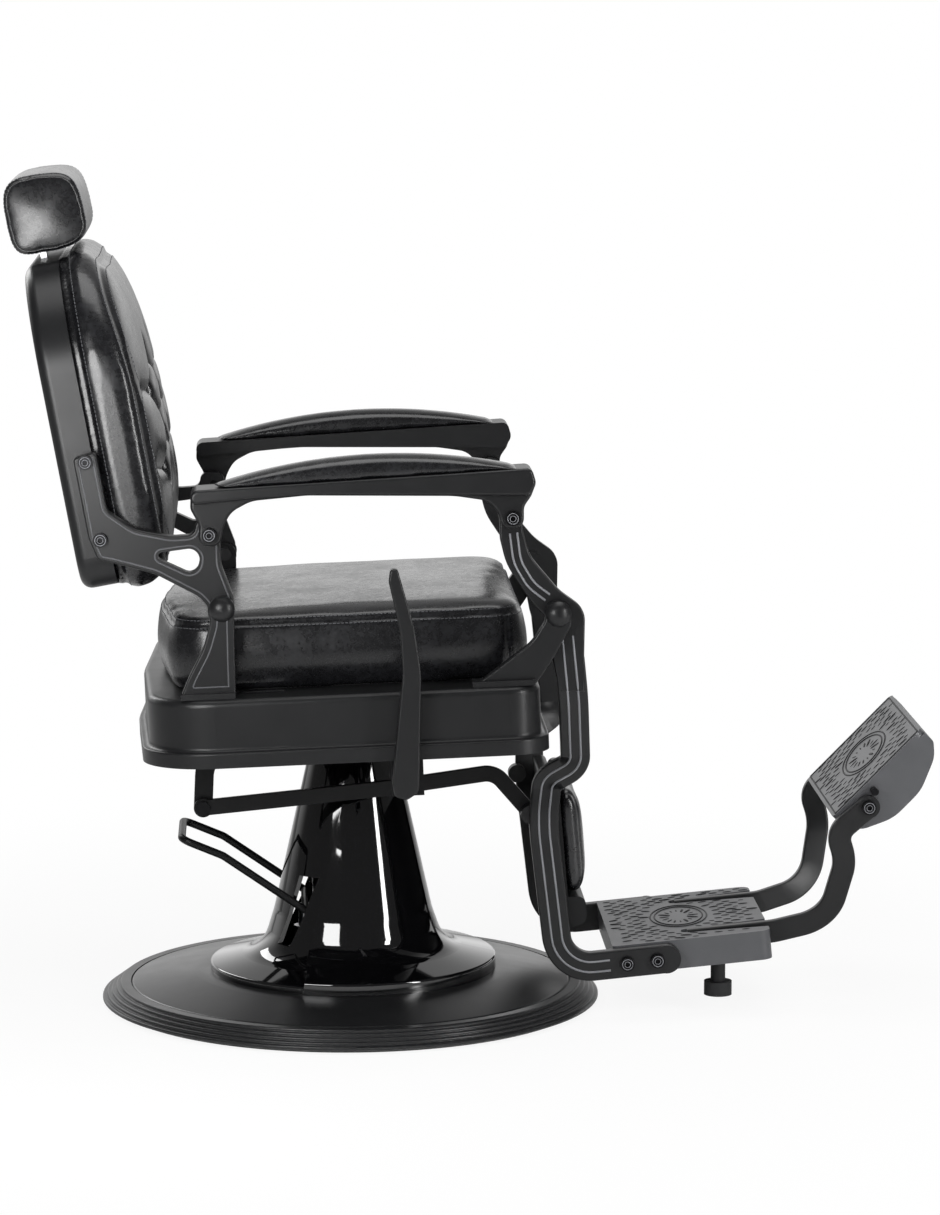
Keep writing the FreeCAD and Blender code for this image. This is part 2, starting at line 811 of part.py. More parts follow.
def make_seat_shell():
    body = body_of("seat_shell")
    wall = pad(body, sketch_on(body, "XY_Plane", rounded(seat_plan(0))), "Sizes.shell_depth", True)
    fillet(body, wall, "Sizes.shell_edge_round", lambda edge: level(edge, "z", 0))
    flange_plan = rounded(seat_plan(-d.shell_flange))
    skirt = pad(body, sketch_on(body, "XY_Plane", flange_plan, -d.shell_depth), "Sizes.shell_flange_height")
    top_edge = d.shell_flange_height - d.shell_depth
    wall_face = Part.Face(flat_wire(seat_plan(0)))
    wall_face.translate(V(0, 0, top_edge))

    def on_skirt(edge):
        return level(edge, "z", top_edge) and all(
            Part.Vertex(vertex.Point).distToShape(wall_face)[0] > d.edge_round
            for vertex in edge.Vertexes)

    eased = fillet(body, skirt, "Sizes.edge_round", on_skirt)
    cove = "min(Sizes.shell_cove; 0.9 * (Sizes.shell_flange - Sizes.edge_round))"
    fillet(body, eased, cove, lambda edge: level(edge, "z", top_edge) and not on_skirt(edge))
    hollow = sketch_on(body, "XY_Plane", rounded(seat_plan(d.shell_wall)), -d.shell_depth)
    pocket(body, hollow, "Sizes.shell_depth - Sizes.shell_wall", True)
    slot_y = cradle_inner - d.side_play * 2
    slot_width = d.cradle_thickness + d.side_play * 4
    slots = []
    for side in SIDES.values():
        low = slot_y if side > 0 else -slot_y - slot_width
        slots += rounded(box_points(d.rear_pivot_x - 28, d.rear_pivot_x + 78, low, low + slot_width, 3))
    pocket(body, sketch_on(body, "XY_Plane", slots), "Sizes.shell_wall")
    body.Placement = seat_frame
    doc.recompute()
    return keep("seat_shell", body)


def cushion_plan(inset):
    half = d.cushion_half - inset
    front = d.cushion_front - inset
    rear = -d.cushion_rear + inset
    rear_round = d.cushion_rear_round - inset * 0.2
    front_round = d.cushion_front_round - inset * 0.2
    return [
        (rear, 0, half * 2),
        (rear + d.cushion_bow, -half, rear_round),
        (front, -half, front_round),
        (front, half, front_round),
        (rear + d.cushion_bow, half, rear_round),
    ]


def swell(seam, height):
    """Levels of a stuffed piece: height, share of the drawn-in edge, share of the crown's reach."""
    levels = [(0, 1, 0), (seam * 0.2, 0.25, 0), (seam * 0.5, 0, 0), (seam * 0.8, 0.25, 0)]
    steps = 7
    for step in range(steps + 1):
        share = step / steps
        levels.append((seam + (height - seam) * (1 - (1 - share) ** 3), 0.6, share))
    return levels


def make_seat_cushion():
    wires = []
    for height, edge, crown in swell(d.cushion_seam, d.cushion_height):
        wire = flat_wire(cushion_plan(d.cushion_draw * edge + d.cushion_crown_reach * crown))
        wire.translate(V(0, 0, height))
        wires.append(wire)
    board_wire = flat_wire(cushion_plan(d.seat_board_inset))
    board = Part.Face(board_wire).extrude(V(0, 0, d.seat_board_thickness))
    pillow = loft(wires).cut(board)
    for name, shape in (("seat_board", board), ("seat_cushion", pillow)):
        feature = solid(name, shape)
        feature.Placement = seat_frame
        keep(name, feature)


# Brackets on the seat rim and their pins

def bracket_outlines():
    rear = around(
        rear_pivot, (-15, 15, 14), (15, 15, 14), (15, -15, 30), (16, -75, 80)
    ) + [
        (d.rear_pivot_x + 17, rim(d.rear_pivot_x + 17), 2),
        (d.rear_pivot_x - 53, rim(d.rear_pivot_x - 53), 2),
    ] + around(rear_pivot, (-41, -84, 60), (-24, -51, 80), (-15, -20, 30))
    front = around(
        front_pivot, (-15, 15, 14), (15, 15, 14), (16, -14, 12), (-8, -58, 80)
    ) + [
        (d.front_pivot_x - 28, rim(d.front_pivot_x - 28), 2),
        (d.front_pivot_x - 108, rim(d.front_pivot_x - 108), 2),
    ] + around(front_pivot, (-84, -74, 60), (-33, -35, 60), (-16, -8, 24))
    return {"rear": (rear_pivot, rear, -53, 17), "front": (front_pivot, front, -108, -28)}


def make_brackets():
    middle = (bracket_inner + bracket_outer) / 2
    screw = socket_screw(d.shell_wall + d.screw_bite)
    screws = []
    for side_name, side in SIDES.items():
        for end, (pivot, points, left, right) in bracket_outlines().items():
            name = f"{end}_bracket_{side_name}"
            hole = (pivot[0], pivot[1], d.pivot_radius)
            web = plate(name + "_web", points, bracket_inner, "bracket_thickness", side, [hole], "edge_round")
            low = side * middle - d.bracket_foot_width / 2
            foot = block(pivot[0] + left + 1, pivot[0] + right - 1, low, low + d.bracket_foot_width,
                         0, d.bracket_foot_height)
            pad_feature = solid(name + "_foot", foot)
            pad_feature.Placement = seat_frame
            doc.recompute()
            whole = fuse(name + "_blank", [web, pad_feature])
            own = []
            for share in (0.25, 0.75):
                x = pivot[0] + left + (right - left) * share
                place = seat_frame.multVec(V(x, side * middle, -d.shell_wall))
                own.append(facing(screw, place, seat_frame.Rotation.multVec(V(0, 0, -1))))
            screws += own
            keep(name, cut(name, whole, [solid(name + "_screws", Part.makeCompound(own))]))
    bolts = keep("bracket_screws", solid("bracket_screws", Part.makeCompound(screws)))
    keep("seat_shell", cut("seat_shell_drilled", nodes["seat_shell"], [bolts]))


def pivot_pin(length):
    """Domed pin along +Z, its shank reaching inwards from the origin."""
    rise = d.pivot_cap_height
    wide = d.pivot_cap_radius
    ball = (wide * wide + rise * rise) / (2 * rise)
    cap = Part.makeSphere(ball, V(0, 0, rise - ball)).common(Part.makeCylinder(wide, rise))
    return cap.fuse(Part.makeCylinder(d.pivot_radius, length, V(0, 0, -length))).removeSplitter()


def make_pivot_pins():
    reach = {"rear": cradle_inner - d.pivot_tail, "front": arm_inner - d.pivot_tail}
    for end, pivot in (("rear", rear_pivot), ("front", front_pivot)):
        pin = pivot_pin(bracket_outer - reach[end])
        pins = []
        for side in SIDES.values():
            pins.append(facing(pin, V(pivot[0], side * bracket_outer, pivot[1]), V(0, side, 0)))
        keep(f"{end}_pivot_pins", solid(f"{end}_pivot_pins", Part.makeCompound(pins)))


# Recline cradle, link bar and gas spring

def make_cradle():
    half = d.cradle_width / 2
    pieces = []
    collar = d.cradle_tube_radius + 2
    for side in SIDES.values():
        arm = plate(
            "cradle_arm", around(rear_pivot, (-15, 15, 14), (15, 15, 14), (14, -20, 20), (10, -124, 16))
            + around(cradle_tube, (half, -collar, 12), (-collar, -collar, 14), (-collar, collar, 14))
            + around(rear_pivot, (-16, -112, 16), (-14, -20, 20)),
            cradle_inner, "cradle_thickness", side, [(*rear_pivot, d.pivot_radius + d.running_fit)],
        )
        pieces.append(arm.Shape)
    outer = cradle_inner + d.cradle_thickness
    pieces.append(cross_rod(*cradle_tube, d.cradle_tube_radius, -outer, outer))
    hanger_y = -(hanger_inner + d.hanger_thickness / 2)
    hanger = bent_bar(
        [(cradle_tube[0], hanger_y, cradle_tube[1], 0),
         (hanger_pin[0] + 20, hanger_y, hanger_pin[1] + 98, 30),
         (hanger_pin[0] + 2, hanger_y, hanger_pin[1] + 46, 40),
         (hanger_pin[0], hanger_y, hanger_pin[1], 0)],
        d.hanger_width, d.hanger_thickness, 1,
    )
    eye = cross_rod(*hanger_pin, d.hanger_width / 2, -hanger_inner, -hanger_inner - d.hanger_thickness)
    lug_y = -d.spring_offset
    lug_half = d.spring_lug_width / 2
    lug = bent_bar(
        [(cradle_tube[0], lug_y, cradle_tube[1], 0), (spring_lug[0], lug_y, spring_lug[1], 0)],
        d.cradle_width, d.spring_lug_width, 1,
    )
    lug_eye = cross_rod(*spring_lug, half, lug_y - lug_half, lug_y + lug_half)
    blank = pieces[0].multiFuse(pieces[1:] + [hanger, eye, lug, lug_eye])
    fit = d.link_pin_radius + d.running_fit
    holes = [
        cross_rod(*hanger_pin, fit, 0, -d.shell_half),
        cross_rod(*spring_lug, fit, lug_y - d.spring_lug_width, lug_y + d.spring_lug_width),
    ]
    keep("recline_cradle", solid("recline_cradle", blank.cut(Part.makeCompound(holes)).removeSplitter()))


def make_link():
    y = -(link_inner + d.link_thickness / 2)
    rise = d.link_height * 0.5
    bar = bent_bar(
        [(hanger_pin[0], y, hanger_pin[1], 0),
         (d.front_pivot_x - 214, y, leg_pin[1] + 22 + rise, 200),
         (d.front_pivot_x - 72, y, leg_pin[1] + 42 + rise, 26),
         (leg_pin[0], y, leg_pin[1], 0)],
        d.link_height, d.link_thickness, 1,
    )
    outer = -link_inner - d.link_thickness
    eyes = [cross_rod(*pin, d.hanger_width / 2, -link_inner, outer) for pin in (hanger_pin, leg_pin)]
    blank = bar.multiFuse(eyes).removeSplitter()
    holes = [cross_rod(*hanger_pin, d.link_pin_radius, 0, -d.shell_half),
             cross_rod(*leg_pin, d.link_pin_radius + d.running_fit, 0, -d.shell_half)]
    keep("link_bar", solid("link_bar", blank.cut(Part.makeCompound(holes))))
    pin = Part.makeCylinder(d.screw_head_radius, d.screw_head_height * 0.6)
    reach = d.link_thickness + d.side_play + d.hanger_thickness + 2
    pin = pin.fuse(Part.makeCylinder(d.link_pin_radius, reach, V(0, 0, -reach))).removeSplitter()
    place = V(hanger_pin[0], outer, hanger_pin[1])
    keep("link_pin_rear", solid("link_pin_rear", facing(pin, place, V(0, -1, 0))))
    bite = d.arm_thickness * 0.6
    reach = d.link_thickness + d.link_gap + bite
    pin = Part.makeCylinder(d.screw_head_radius, d.screw_head_height * 0.6)
    pin = pin.fuse(Part.makeCylinder(d.link_pin_radius, reach, V(0, 0, -reach))).removeSplitter()
    place = V(leg_pin[0], -link_inner, leg_pin[1])
    keep("link_pin_front", solid("link_pin_front", facing(pin, place, V(0, 1, 0))))


def make_gas_spring():
    y = -d.spring_offset
    height = spring_lug[1] - d.spring_sag
    front = d.spring_front
    tube = rod(d.spring_radius, V(front - d.spring_length, y, height), V(front, y, height))
    rail_face = -d.rail_offset - d.rail_width / 2
    anchor = block(front - 26, front, y - d.spring_radius, rail_face, height - d.spring_radius,
                   height + d.spring_radius)
    bore = rod(d.spring_bore, V(front - d.spring_length, y, height), V(front - 30, y, height))
    keep("gas_spring_cylinder", solid("gas_spring_cylinder", tube.fuse(anchor).cut(bore).removeSplitter()))
    eye_x, height = spring_lug
    gap = d.spring_lug_width / 2 + d.side_play / 2
    bar = rod(d.spring_rod_radius, V(eye_x + d.cradle_width / 2 + 8, y, height),
              V(eye_x + d.spring_rod_length, y, height))
    fork = block(eye_x - 9, eye_x + d.cradle_width / 2 + 12, y - gap - 4, y + gap + 4, height - 9, height + 9)
    mouth = block(eye_x - 9, eye_x + d.cradle_width / 2 + 3, y - gap, y + gap, height - 9, height + 9)
    pin = cross_rod(eye_x, height, d.link_pin_radius, y - gap - 4, y + gap + 4)
    keep("gas_spring_rod", solid("gas_spring_rod", bar.multiFuse([fork.cut(mouth), pin]).removeSplitter()))


# Backrest

def back_arm_outline():
    half = d.arm_bolt_set
    return [
        placed_on(back_frame, -half - 14, d.arm_bolt_high + 7, 6),
        placed_on(back_frame, 6, d.arm_bolt_high + 10, 6),
        placed_on(back_frame, 6, d.arm_bolt_low + 34, 14),
    ] + around(
        arm_rear, (-92, 4, 40), (-47, -5, 60), (-19, -3, 10), (-16, 16, 15), (16, 16, 15), (14, -11, 30)
    ) + around(
        rear_pivot, (-1, 54, 40), (14, 14, 14), (17, -17, 16), (-17, -17, 16), (-18, 2, 10), (-29, 14, 30),
        (-82, 42, 70)
    ) + [
        placed_on(back_frame, 6, d.arm_bolt_low - 34, 10),
        placed_on(back_frame, -half - 8, d.arm_bolt_low - 24, 10),
        placed_on(back_frame, -half - 14, d.arm_bolt_low + 4, 12),
    ]


def back_arm_window():
    return around(rear_pivot, (-91, 67, 5), (-24, 76, 14), (-31, 39, 12))


def make_back_arms():
    screw = socket_screw(d.arm_thickness + d.screw_bite)
    screws = []
    for side_name, side in SIDES.items():
        name = "back_arm_" + side_name
        holes = [(*rear_pivot, d.pivot_radius + d.running_fit),
                 (*arm_rear, d.armrest_bolt_radius + d.running_fit)]
        own = []
        for along in (d.arm_bolt_low, d.arm_bolt_high):
            spot = placed_on(back_frame, -d.arm_bolt_set, along)
            holes.append((spot[0], spot[1], d.screw_radius))
            own.append(facing(screw, V(spot[0], side * arm_outer, spot[1]), V(0, side, 0)))
        screws += own
        outline = back_arm_outline()
        whole = plate(name + "_blank", outline, arm_inner, "arm_thickness", side, holes, "edge_round")
        opening = Part.Face(upright_wire(back_arm_window(), 0)).extrude(V(0, d.shell_half * 2, 0))
        opening.translate(V(0, -d.shell_half, 0))
        keep(name, cut(name, whole, [solid(name + "_window", opening)]))
    keep("back_arm_screws", solid("back_arm_screws", Part.makeCompound(screws)))


def arched(side, low, high, low_round, high_round):
    """Front view of a back panel: small corners below, large ones above."""
    foot = [(-side, low, low_round), (side, low, low_round)]
    return foot + [(side, high, high_round), (-side, high, high_round)]


def back_plan(inset):
    high = d.back_height - inset
    return arched(arm_inner - inset, inset, high, d.back_round - inset, d.back_top_round - inset)


def make_back_shell():
    body = body_of("back_tray")
    half = arm_inner
    pad(body, sketch_on(body, "YZ_Plane", rounded(back_plan(0))), "Sizes.back_depth", True)
    wall = d.back_wall
    inner = rounded(back_plan(wall))
    hollow = pocket(body, sketch_on(body, "YZ_Plane", inner), "Sizes.back_depth - Sizes.back_wall")
    floor = fillet(body, hollow, "Sizes.back_edge_round - Sizes.back_wall",
                   lambda edge: level(edge, "x", wall - d.back_depth))
    fillet(body, floor, "Sizes.back_edge_round", lambda edge: level(edge, "x", -d.back_depth))
    body.Placement = back_frame
    doc.recompute()

    slot_half = d.headrest_bar_width / 2 + d.socket_wall + d.sliding_fit
    bar_rear = -d.headrest_bar_depth - d.headrest_bar_thickness / 2
    slot = block(bar_rear - d.sliding_fit, bar_rear + d.headrest_bar_thickness + d.sliding_fit,
                 -d.headrest_bar_width / 2 - d.sliding_fit, d.headrest_bar_width / 2 + d.sliding_fit,
                 d.back_height - d.back_wall * 2, d.back_height + d.back_wall)
    slot.Placement = back_frame
    keep("back_shell", cut("back_shell", body, [nodes["back_arm_screws"], solid("headrest_slot", slot)]))

    panel = Part.Face(flat_wire(back_plan(wall)))
    panel.Placement = FreeCAD.Placement(V(0, 0, 0), facing_forward)
    board = panel.extrude(V(-d.back_board_thickness, 0, 0))
    cleats = []
    for side in SIDES.values():
        outer = side * (half - wall)
        inward = side * (half - wall - d.back_cleat_width)
        cleats.append(block(-d.back_depth + d.back_edge_round, -d.back_board_thickness, min(outer, inward),
                            max(outer, inward), d.back_cleat_bottom, d.back_cleat_top))
    carcass = solid("back_carcass", board.multiFuse(cleats).removeSplitter())
    carcass.Placement = back_frame
    keep("back_board", cut("back_board", carcass, [nodes["back_arm_screws"]]))

    socket_top = d.back_height - d.back_edge_round
    socket = block(bar_rear - d.sliding_fit - d.socket_wall, -d.back_board_thickness, -slot_half, slot_half,
                   socket_top - d.socket_length, socket_top)
    bore = block(bar_rear - d.sliding_fit, bar_rear + d.headrest_bar_thickness + d.sliding_fit,
                 -d.headrest_bar_width / 2 - d.sliding_fit, d.headrest_bar_width / 2 + d.sliding_fit,
                 0, d.back_height)
    feature = solid("headrest_socket", socket.cut(bore))
    feature.Placement = back_frame
    keep("headrest_socket", feature)


def fall(depth, start, reach):
    """How far an edge has fallen back at a depth: nothing up to its start, then an elliptical round."""
    share = max(0, (depth - start) / (d.back_cushion_depth - start))
    return reach * (1 - math.sqrt(max(0, 1 - share * share)))


def make_back_cushion():
    half = arm_inner - d.back_cushion_inset
    wires = []
    steps = 12
    for step in range(steps + 1):
        depth = d.back_cushion_depth * math.sin(math.pi / 2 * step / steps)
        drawn = d.cushion_draw * max(0, 1 - depth / d.back_cushion_bulge) ** 2
        side = half - drawn - fall(depth, d.back_side_start, d.back_side_fall)
        low = drawn - d.back_cushion_hang + fall(depth, d.back_bottom_start, d.back_bottom_fall)
        high = d.back_height + d.back_cushion_rise - drawn - fall(depth, d.back_top_start, d.back_top_fall)
        wire = flat_wire(arched(side, low, high, d.back_cushion_round, d.back_top_round))
        wire.Placement = FreeCAD.Placement(V(depth, 0, 0), facing_forward)
        wires.append(wire)
    pillow = loft(wires)
    pits = []
    for row in range(int(d.tuft_rows)):
        height = d.tuft_bottom + d.tuft_pitch * row
        places = (-1, 1) if row % 2 else (-2, 0, 2)
        for place in places:
            pits.append(Part.makeSphere(d.tuft_radius, V(d.back_cushion_depth + d.tuft_radius - d.tuft_depth,
                                                         place * d.tuft_spacing, height)))
    feature = solid("back_cushion", pillow.cut(Part.makeCompound(pits)))
    feature.Placement = back_frame
    keep("back_cushion", feature)


# Headrest on its sliding bar

def headrest_section(grow, shrink_round):
    """Side outline of the headrest, in the frame of the back."""
    bottom = d.back_height + d.headrest_gap
    top = bottom + d.headrest_height
    rear = -d.headrest_depth / 2 - d.headrest_set
    front = d.headrest_depth / 2 - d.headrest_set
    return [
        (rear - grow, bottom - 3, shrink_round),
        (front - 1 + grow, bottom + 7, shrink_round),
        (front - 6 + grow, top - 2 + grow * 0.6, shrink_round),
        (rear - grow, top + 2 + grow * 0.6, shrink_round),
    ]


def make_headrest():
    wires = []
    steps = 14
    for step in range(steps + 1):
        turn = math.pi * (step / steps - 0.5)
        swelling = d.headrest_swell * math.cos(turn) ** 0.6
        bend = d.headrest_round + swelling * 0.5
        wires.append(upright_wire(headrest_section(swelling, bend), d.headrest_half * math.sin(turn)))
    pillow = loft(wires)
    bottom = d.back_height + d.headrest_gap
    bar_rear = -d.headrest_bar_depth - d.headrest_bar_thickness / 2
    bar_front = bar_rear + d.headrest_bar_thickness
    bar_top = bottom + d.headrest_bar_rise
    bar = block(bar_rear, bar_front, -d.headrest_bar_width / 2, d.headrest_bar_width / 2,
                bar_top - d.headrest_bar_length, bar_top)
    middle = bottom + d.headrest_height / 2
    board_half = d.headrest_board_half
    board = block(bar_front, bar_front + d.headrest_board_thickness, -board_half, board_half,
                  middle - d.headrest_board_height / 2, middle + d.headrest_board_height / 2)
    shapes = {"headrest_bar": bar, "headrest_board": board, "headrest_cushion": pillow.cut(bar).cut(board)}
    for name, shape in shapes.items():
        feature = solid(name, shape)
        feature.Placement = back_frame
        keep(name, feature)


# Armrests

def armrest_outlines():
    whole = around(arm_rear, (-22, 56, 14)) + around(
        arm_front, (23, 63, 9), (29, 43, 14), (23, 27, 14), (14, 14, 16), (14, -13, 12),
        (-14, -13, 12), (-17, 6, 40), (-31, 21.5, 28), (-72, 27.5, 120)
    ) + around(
        arm_rear,
        (120, 48, 120), (52, 41.5, 45), (27, 28, 30), (17, 8, 40), (14, -14, 12),
        (-14, -14, 12), (-12, 12, 20), (-23, 32, 14),
    )
    beam = around(arm_rear, (-23, 38, 10), (-22, 56, 14)) + around(
        arm_front, (23, 63, 9), (29, 43, 14), (20, 29, 12), (-72, 29.5, 120)
    ) + around(arm_rear, (120, 49.5, 120), (40, 44, 20))
    return whole, beam


def armrest_top(x):
    """Height of the armrest frame's top line."""
    rear = (arm_rear[0] - 22, arm_rear[1] + 56)
    front = (arm_front[0] + 23, arm_front[1] + 63)
    return rear[1] + (front[1] - rear[1]) * (x - rear[0]) / (front[0] - rear[0])


def armrest_pad(side):
    """Crowned pad, lofted across from thin edge to thin edge."""
    rear = arm_rear[0] - 6
    front = arm_front[0] + 15
    peak = rear + (front - rear) * 0.6
    middle = side * (d.beam_inner + d.beam_width / 2)
    half = d.beam_width / 2 - d.armrest_pad_inset
    wires = []
    steps = 10
    for step in range(steps + 1):
        turn = math.pi * (step / steps - 0.5)
        rise = 0.3 + 0.7 * math.cos(turn) ** 0.7
        inset = d.armrest_pad_round * (1 - math.cos(turn))
        y = middle + half * math.sin(turn)
        start = V(rear + inset, y, armrest_top(rear + inset))
        end = V(front - inset, y, armrest_top(front - inset))
        over = V(peak, y, armrest_top(peak) + d.armrest_pad_rise * rise)
        base = Part.LineSegment(end, start).toShape()
        wires.append(Part.Wire([Part.Arc(start, over, end).toShape(), base]))
    return loft(wires)


def make_armrests():
    whole, beam = armrest_outlines()
    screw = socket_screw(d.neck_thickness + d.side_play + d.arm_thickness)
    for side_name, side in SIDES.items():
        name = "armrest_frame_" + side_name
        holes = [(*arm_rear, d.armrest_bolt_radius), (*arm_front, d.armrest_bolt_radius)]
        neck = plate(name + "_neck", whole, bracket_inner, "neck_thickness", side, holes, "armrest_round")
        top = plate(name + "_beam", beam, d.beam_inner, "beam_width", side, (), "armrest_round")
        keep(name, fuse(name, [neck, top]))
        keep("armrest_pad_" + side_name, solid("armrest_pad_" + side_name, armrest_pad(side)))
        screws = [facing(screw, V(x, side * neck_outer, z), V(0, side, 0)) for x, z in (arm_rear, arm_front)]
        keep("armrest_screws_" + side_name, solid("armrest_screws_" + side_name, Part.makeCompound(screws)))


# Leg rest

def leg_outline():
    return around(
        arm_front, (-15, 15, 14), (15, 15, 14), (14, -18, 40)
    ) + around(
        front_pivot, (-36, 72, 60), (2, 27, 70), (34, 4, 28), (33, -60, 60), (34, -100, 0), (4, -100, 0),
        (-4, -72, 60), (-13, -24, 20), (-17, -4, 12), (-34, 14, 40), (-64, 60, 70)
    ) + around(arm_front, (-14, -30, 40))


def leg_route(side):
    foot = foot_frame.multVec(V(d.foot_bolt_front + 12, 0, -d.foot_bolt_drop))
    heel = foot_frame.multVec(V(-70, 0, -d.foot_bolt_drop))
    x, z = front_pivot
    upper = side * leg_upper_middle
    lower = side * leg_lower_middle
    drift = lower - upper
    return [
        (x + 15, upper, z - 58, 0),
        (x + 20, upper, z - 108, 90),
        (x + 27, upper + drift * 0.5, z - 203, 30),
        (x - 8, upper + drift * 0.64, z - 226, 30),
        (x - 11, lower, z - 286, 90),
        (heel.x, lower, heel.z, 44),
        (foot.x, lower, foot.z, 0),
    ]


def make_legs():
    screw = socket_screw(d.arm_thickness + d.foot_wall)
    screws = []
    for side_name, side in SIDES.items():
        name = "leg_" + side_name
        holes = [
            (*front_pivot, d.pivot_radius + d.running_fit),
            (*arm_front, d.armrest_bolt_radius + d.loose_fit),
        ]
        horn = plate(name + "_horn", leg_outline(), arm_inner, "arm_thickness", side, holes, "edge_round")
        shin = bent_bar(leg_route(side), d.leg_width, d.arm_thickness, d.edge_round)
        end = foot_frame.multVec(V(d.foot_bolt_front + 12, 0, -d.foot_bolt_drop))
        outer = side * (d.foot_half + d.arm_thickness)
        toe = cross_rod(end.x, end.z, d.leg_width / 2, side * d.foot_half, outer)
        lug = cross_rod(*leg_pin, d.hanger_width / 2, side * d.foot_half, outer)
        lower = solid(name + "_shin", shin.multiFuse([toe, lug]).removeSplitter())
        whole = fuse(name + "_blank", [horn, lower])
        own = []
        for along in (d.foot_bolt_rear, d.foot_bolt_front):
            spot = foot_frame.multVec(V(along, 0, -d.foot_bolt_drop))
            own.append(facing(screw, V(spot.x, outer, spot.z), V(0, side, 0)))
        screws += own
        tools = [solid(name + "_screws", Part.makeCompound(own)), solid(name + "_rods", calf_rods())]
        if side < 0:
            tools.append(solid(name + "_pin", nodes["link_pin_front"].Shape.copy()))
        keep(name, cut(name, whole, tools))
    keep("foot_screws", solid("foot_screws", Part.makeCompound(screws)))


def calf_points():
    """Top and bottom of the calf board's rear face, in side view."""
    x, z = front_pivot
    top = V(x + d.calf_top_set, 0, z - d.calf_top)
    bottom = V(x + d.calf_bottom_set, 0, z - d.calf_bottom)
    return top, bottom


def calf_rods():
    top, bottom = calf_points()
    reach = d.foot_half + d.calf_rod_bite
    rods = []
    for share in (0.35, 0.85):
        spot = top + (bottom - top) * share
        rods.append(cross_rod(spot.x + d.calf_rod_set, spot.z, d.calf_rod_radius, -reach, reach))
    return Part.makeCompound(rods)


def make_calf():
    top, bottom = calf_points()
    down = bottom - top
    length = down.Length
    frame = FreeCAD.Placement(top, FreeCAD.Rotation(V(0, 0, -1), down))
    thick = d.calf_board_thickness
    half = d.foot_half
    lip = d.calf_lip_thickness
    ledge = -d.calf_pad_height - d.calf_lip_gap
    section = upright_wire([(0, 0, 4), (0, -length, 20), (lip, -length + 4, 14), (lip, ledge, 10),
                            (thick, ledge, 0), (thick, 0, 8)], -half)
    board = Part.Face(section).extrude(V(0, half * 2, 0))
    rods = keep("calf_rods", solid("calf_rods", calf_rods()))
    blank = solid("calf_board_blank", board)
    blank.Placement = frame
    keep("calf_board", cut("calf_board", blank, [rods]))
    tall = d.calf_pad_height
    wires = []
    for depth, edge, crown in swell(d.calf_pad_thickness * 0.6, d.calf_pad_thickness):
        inset = d.cushion_draw * edge * 0.5 + d.calf_crown_reach * crown
        wire = flat_wire(box_points(-half + 3 + inset, half - 3 - inset, -tall + inset, -inset, 20))
        wire.Placement = FreeCAD.Placement(V(thick + depth, 0, 0), facing_forward)
        wires.append(wire)
    feature = solid("calf_pad", loft(wires))
    feature.Placement = frame
    keep("calf_pad", feature)


def foot_arm_underside():
    """Height of the foot arms' underside, below the tread of the foot plate."""
    return -d.foot_arm_sink - d.foot_arm_height / 2


def make_foot_plate():
    length = d.foot_length
    half = d.foot_half
    depth = d.foot_depth
    wall = d.foot_wall
    front_corners = [(length, -half, d.foot_round), (length, half, d.foot_round)]
    plan = flat_wire([(0, -half, 6), *front_corners, (0, half, 6)])
    outer = Part.Face(plan).extrude(V(0, 0, -depth))
    inner_plan = flat_wire([(wall, -half + wall, 4), (length - wall, -half + wall, d.foot_round - wall),
                            (length - wall, half - wall, d.foot_round - wall), (wall, half - wall, 4)])
    hollow = Part.Face(inner_plan).extrude(V(0, 0, -depth))
    hollow.translate(V(0, 0, -wall))
    tray = outer.cut(hollow)
    under_arm = foot_arm_underside()
    ribs = []
    slots = []
    bosses = []
    for side in SIDES.values():
        y = side * d.foot_arm_offset
        tip = length - d.foot_slot_length
        ribs.append(block(tip + 4, length - wall / 2, y - d.foot_arm_thickness, y + d.foot_arm_thickness,
                          -depth + wall, under_arm))
        slot = Part.Face(flat_wire([
            (tip, y - d.foot_slot_tip / 2, 6), (length + wall, y - d.foot_slot_front / 2, 0),
            (length + wall, y + d.foot_slot_front / 2, 0), (tip, y + d.foot_slot_tip / 2, 6),
        ])).extrude(V(0, 0, -d.foot_depth))
        slot.translate(V(0, 0, under_arm + d.foot_depth))
        slots.append(slot)
        stem = V(d.rubber_along, side * d.rubber_offset, 0)
        bosses.append(Part.makeCylinder(d.rubber_stem_radius + 3, depth, stem, V(0, 0, -1)))
    casting = tray.multiFuse(bosses).cut(Part.makeCompound(slots)).multiFuse(ribs).removeSplitter()
    blank = solid("foot_plate_blank", casting)
    blank.Placement = foot_frame
    feet = make_rubber_feet()
    keep("foot_plate", cut("foot_plate", blank, [nodes["foot_screws"], feet]))


def make_rubber_feet():
    feet = []
    for side in SIDES.values():
        stem_top = foot_arm_underside() - d.foot_wall
        top = foot_frame.multVec(V(d.rubber_along, side * d.rubber_offset, stem_top))
        low = foot_frame.Base.z - d.rubber_drop
        disc = Part.makeCylinder(d.rubber_radius, d.rubber_height, V(top.x, top.y, low))
        stem = Part.makeCylinder(d.rubber_stem_radius, top.z - low, V(top.x, top.y, low))
        feet.append(disc.fuse(stem).removeSplitter())
    return keep("rubber_feet", solid("rubber_feet", Part.makeCompound(feet)))


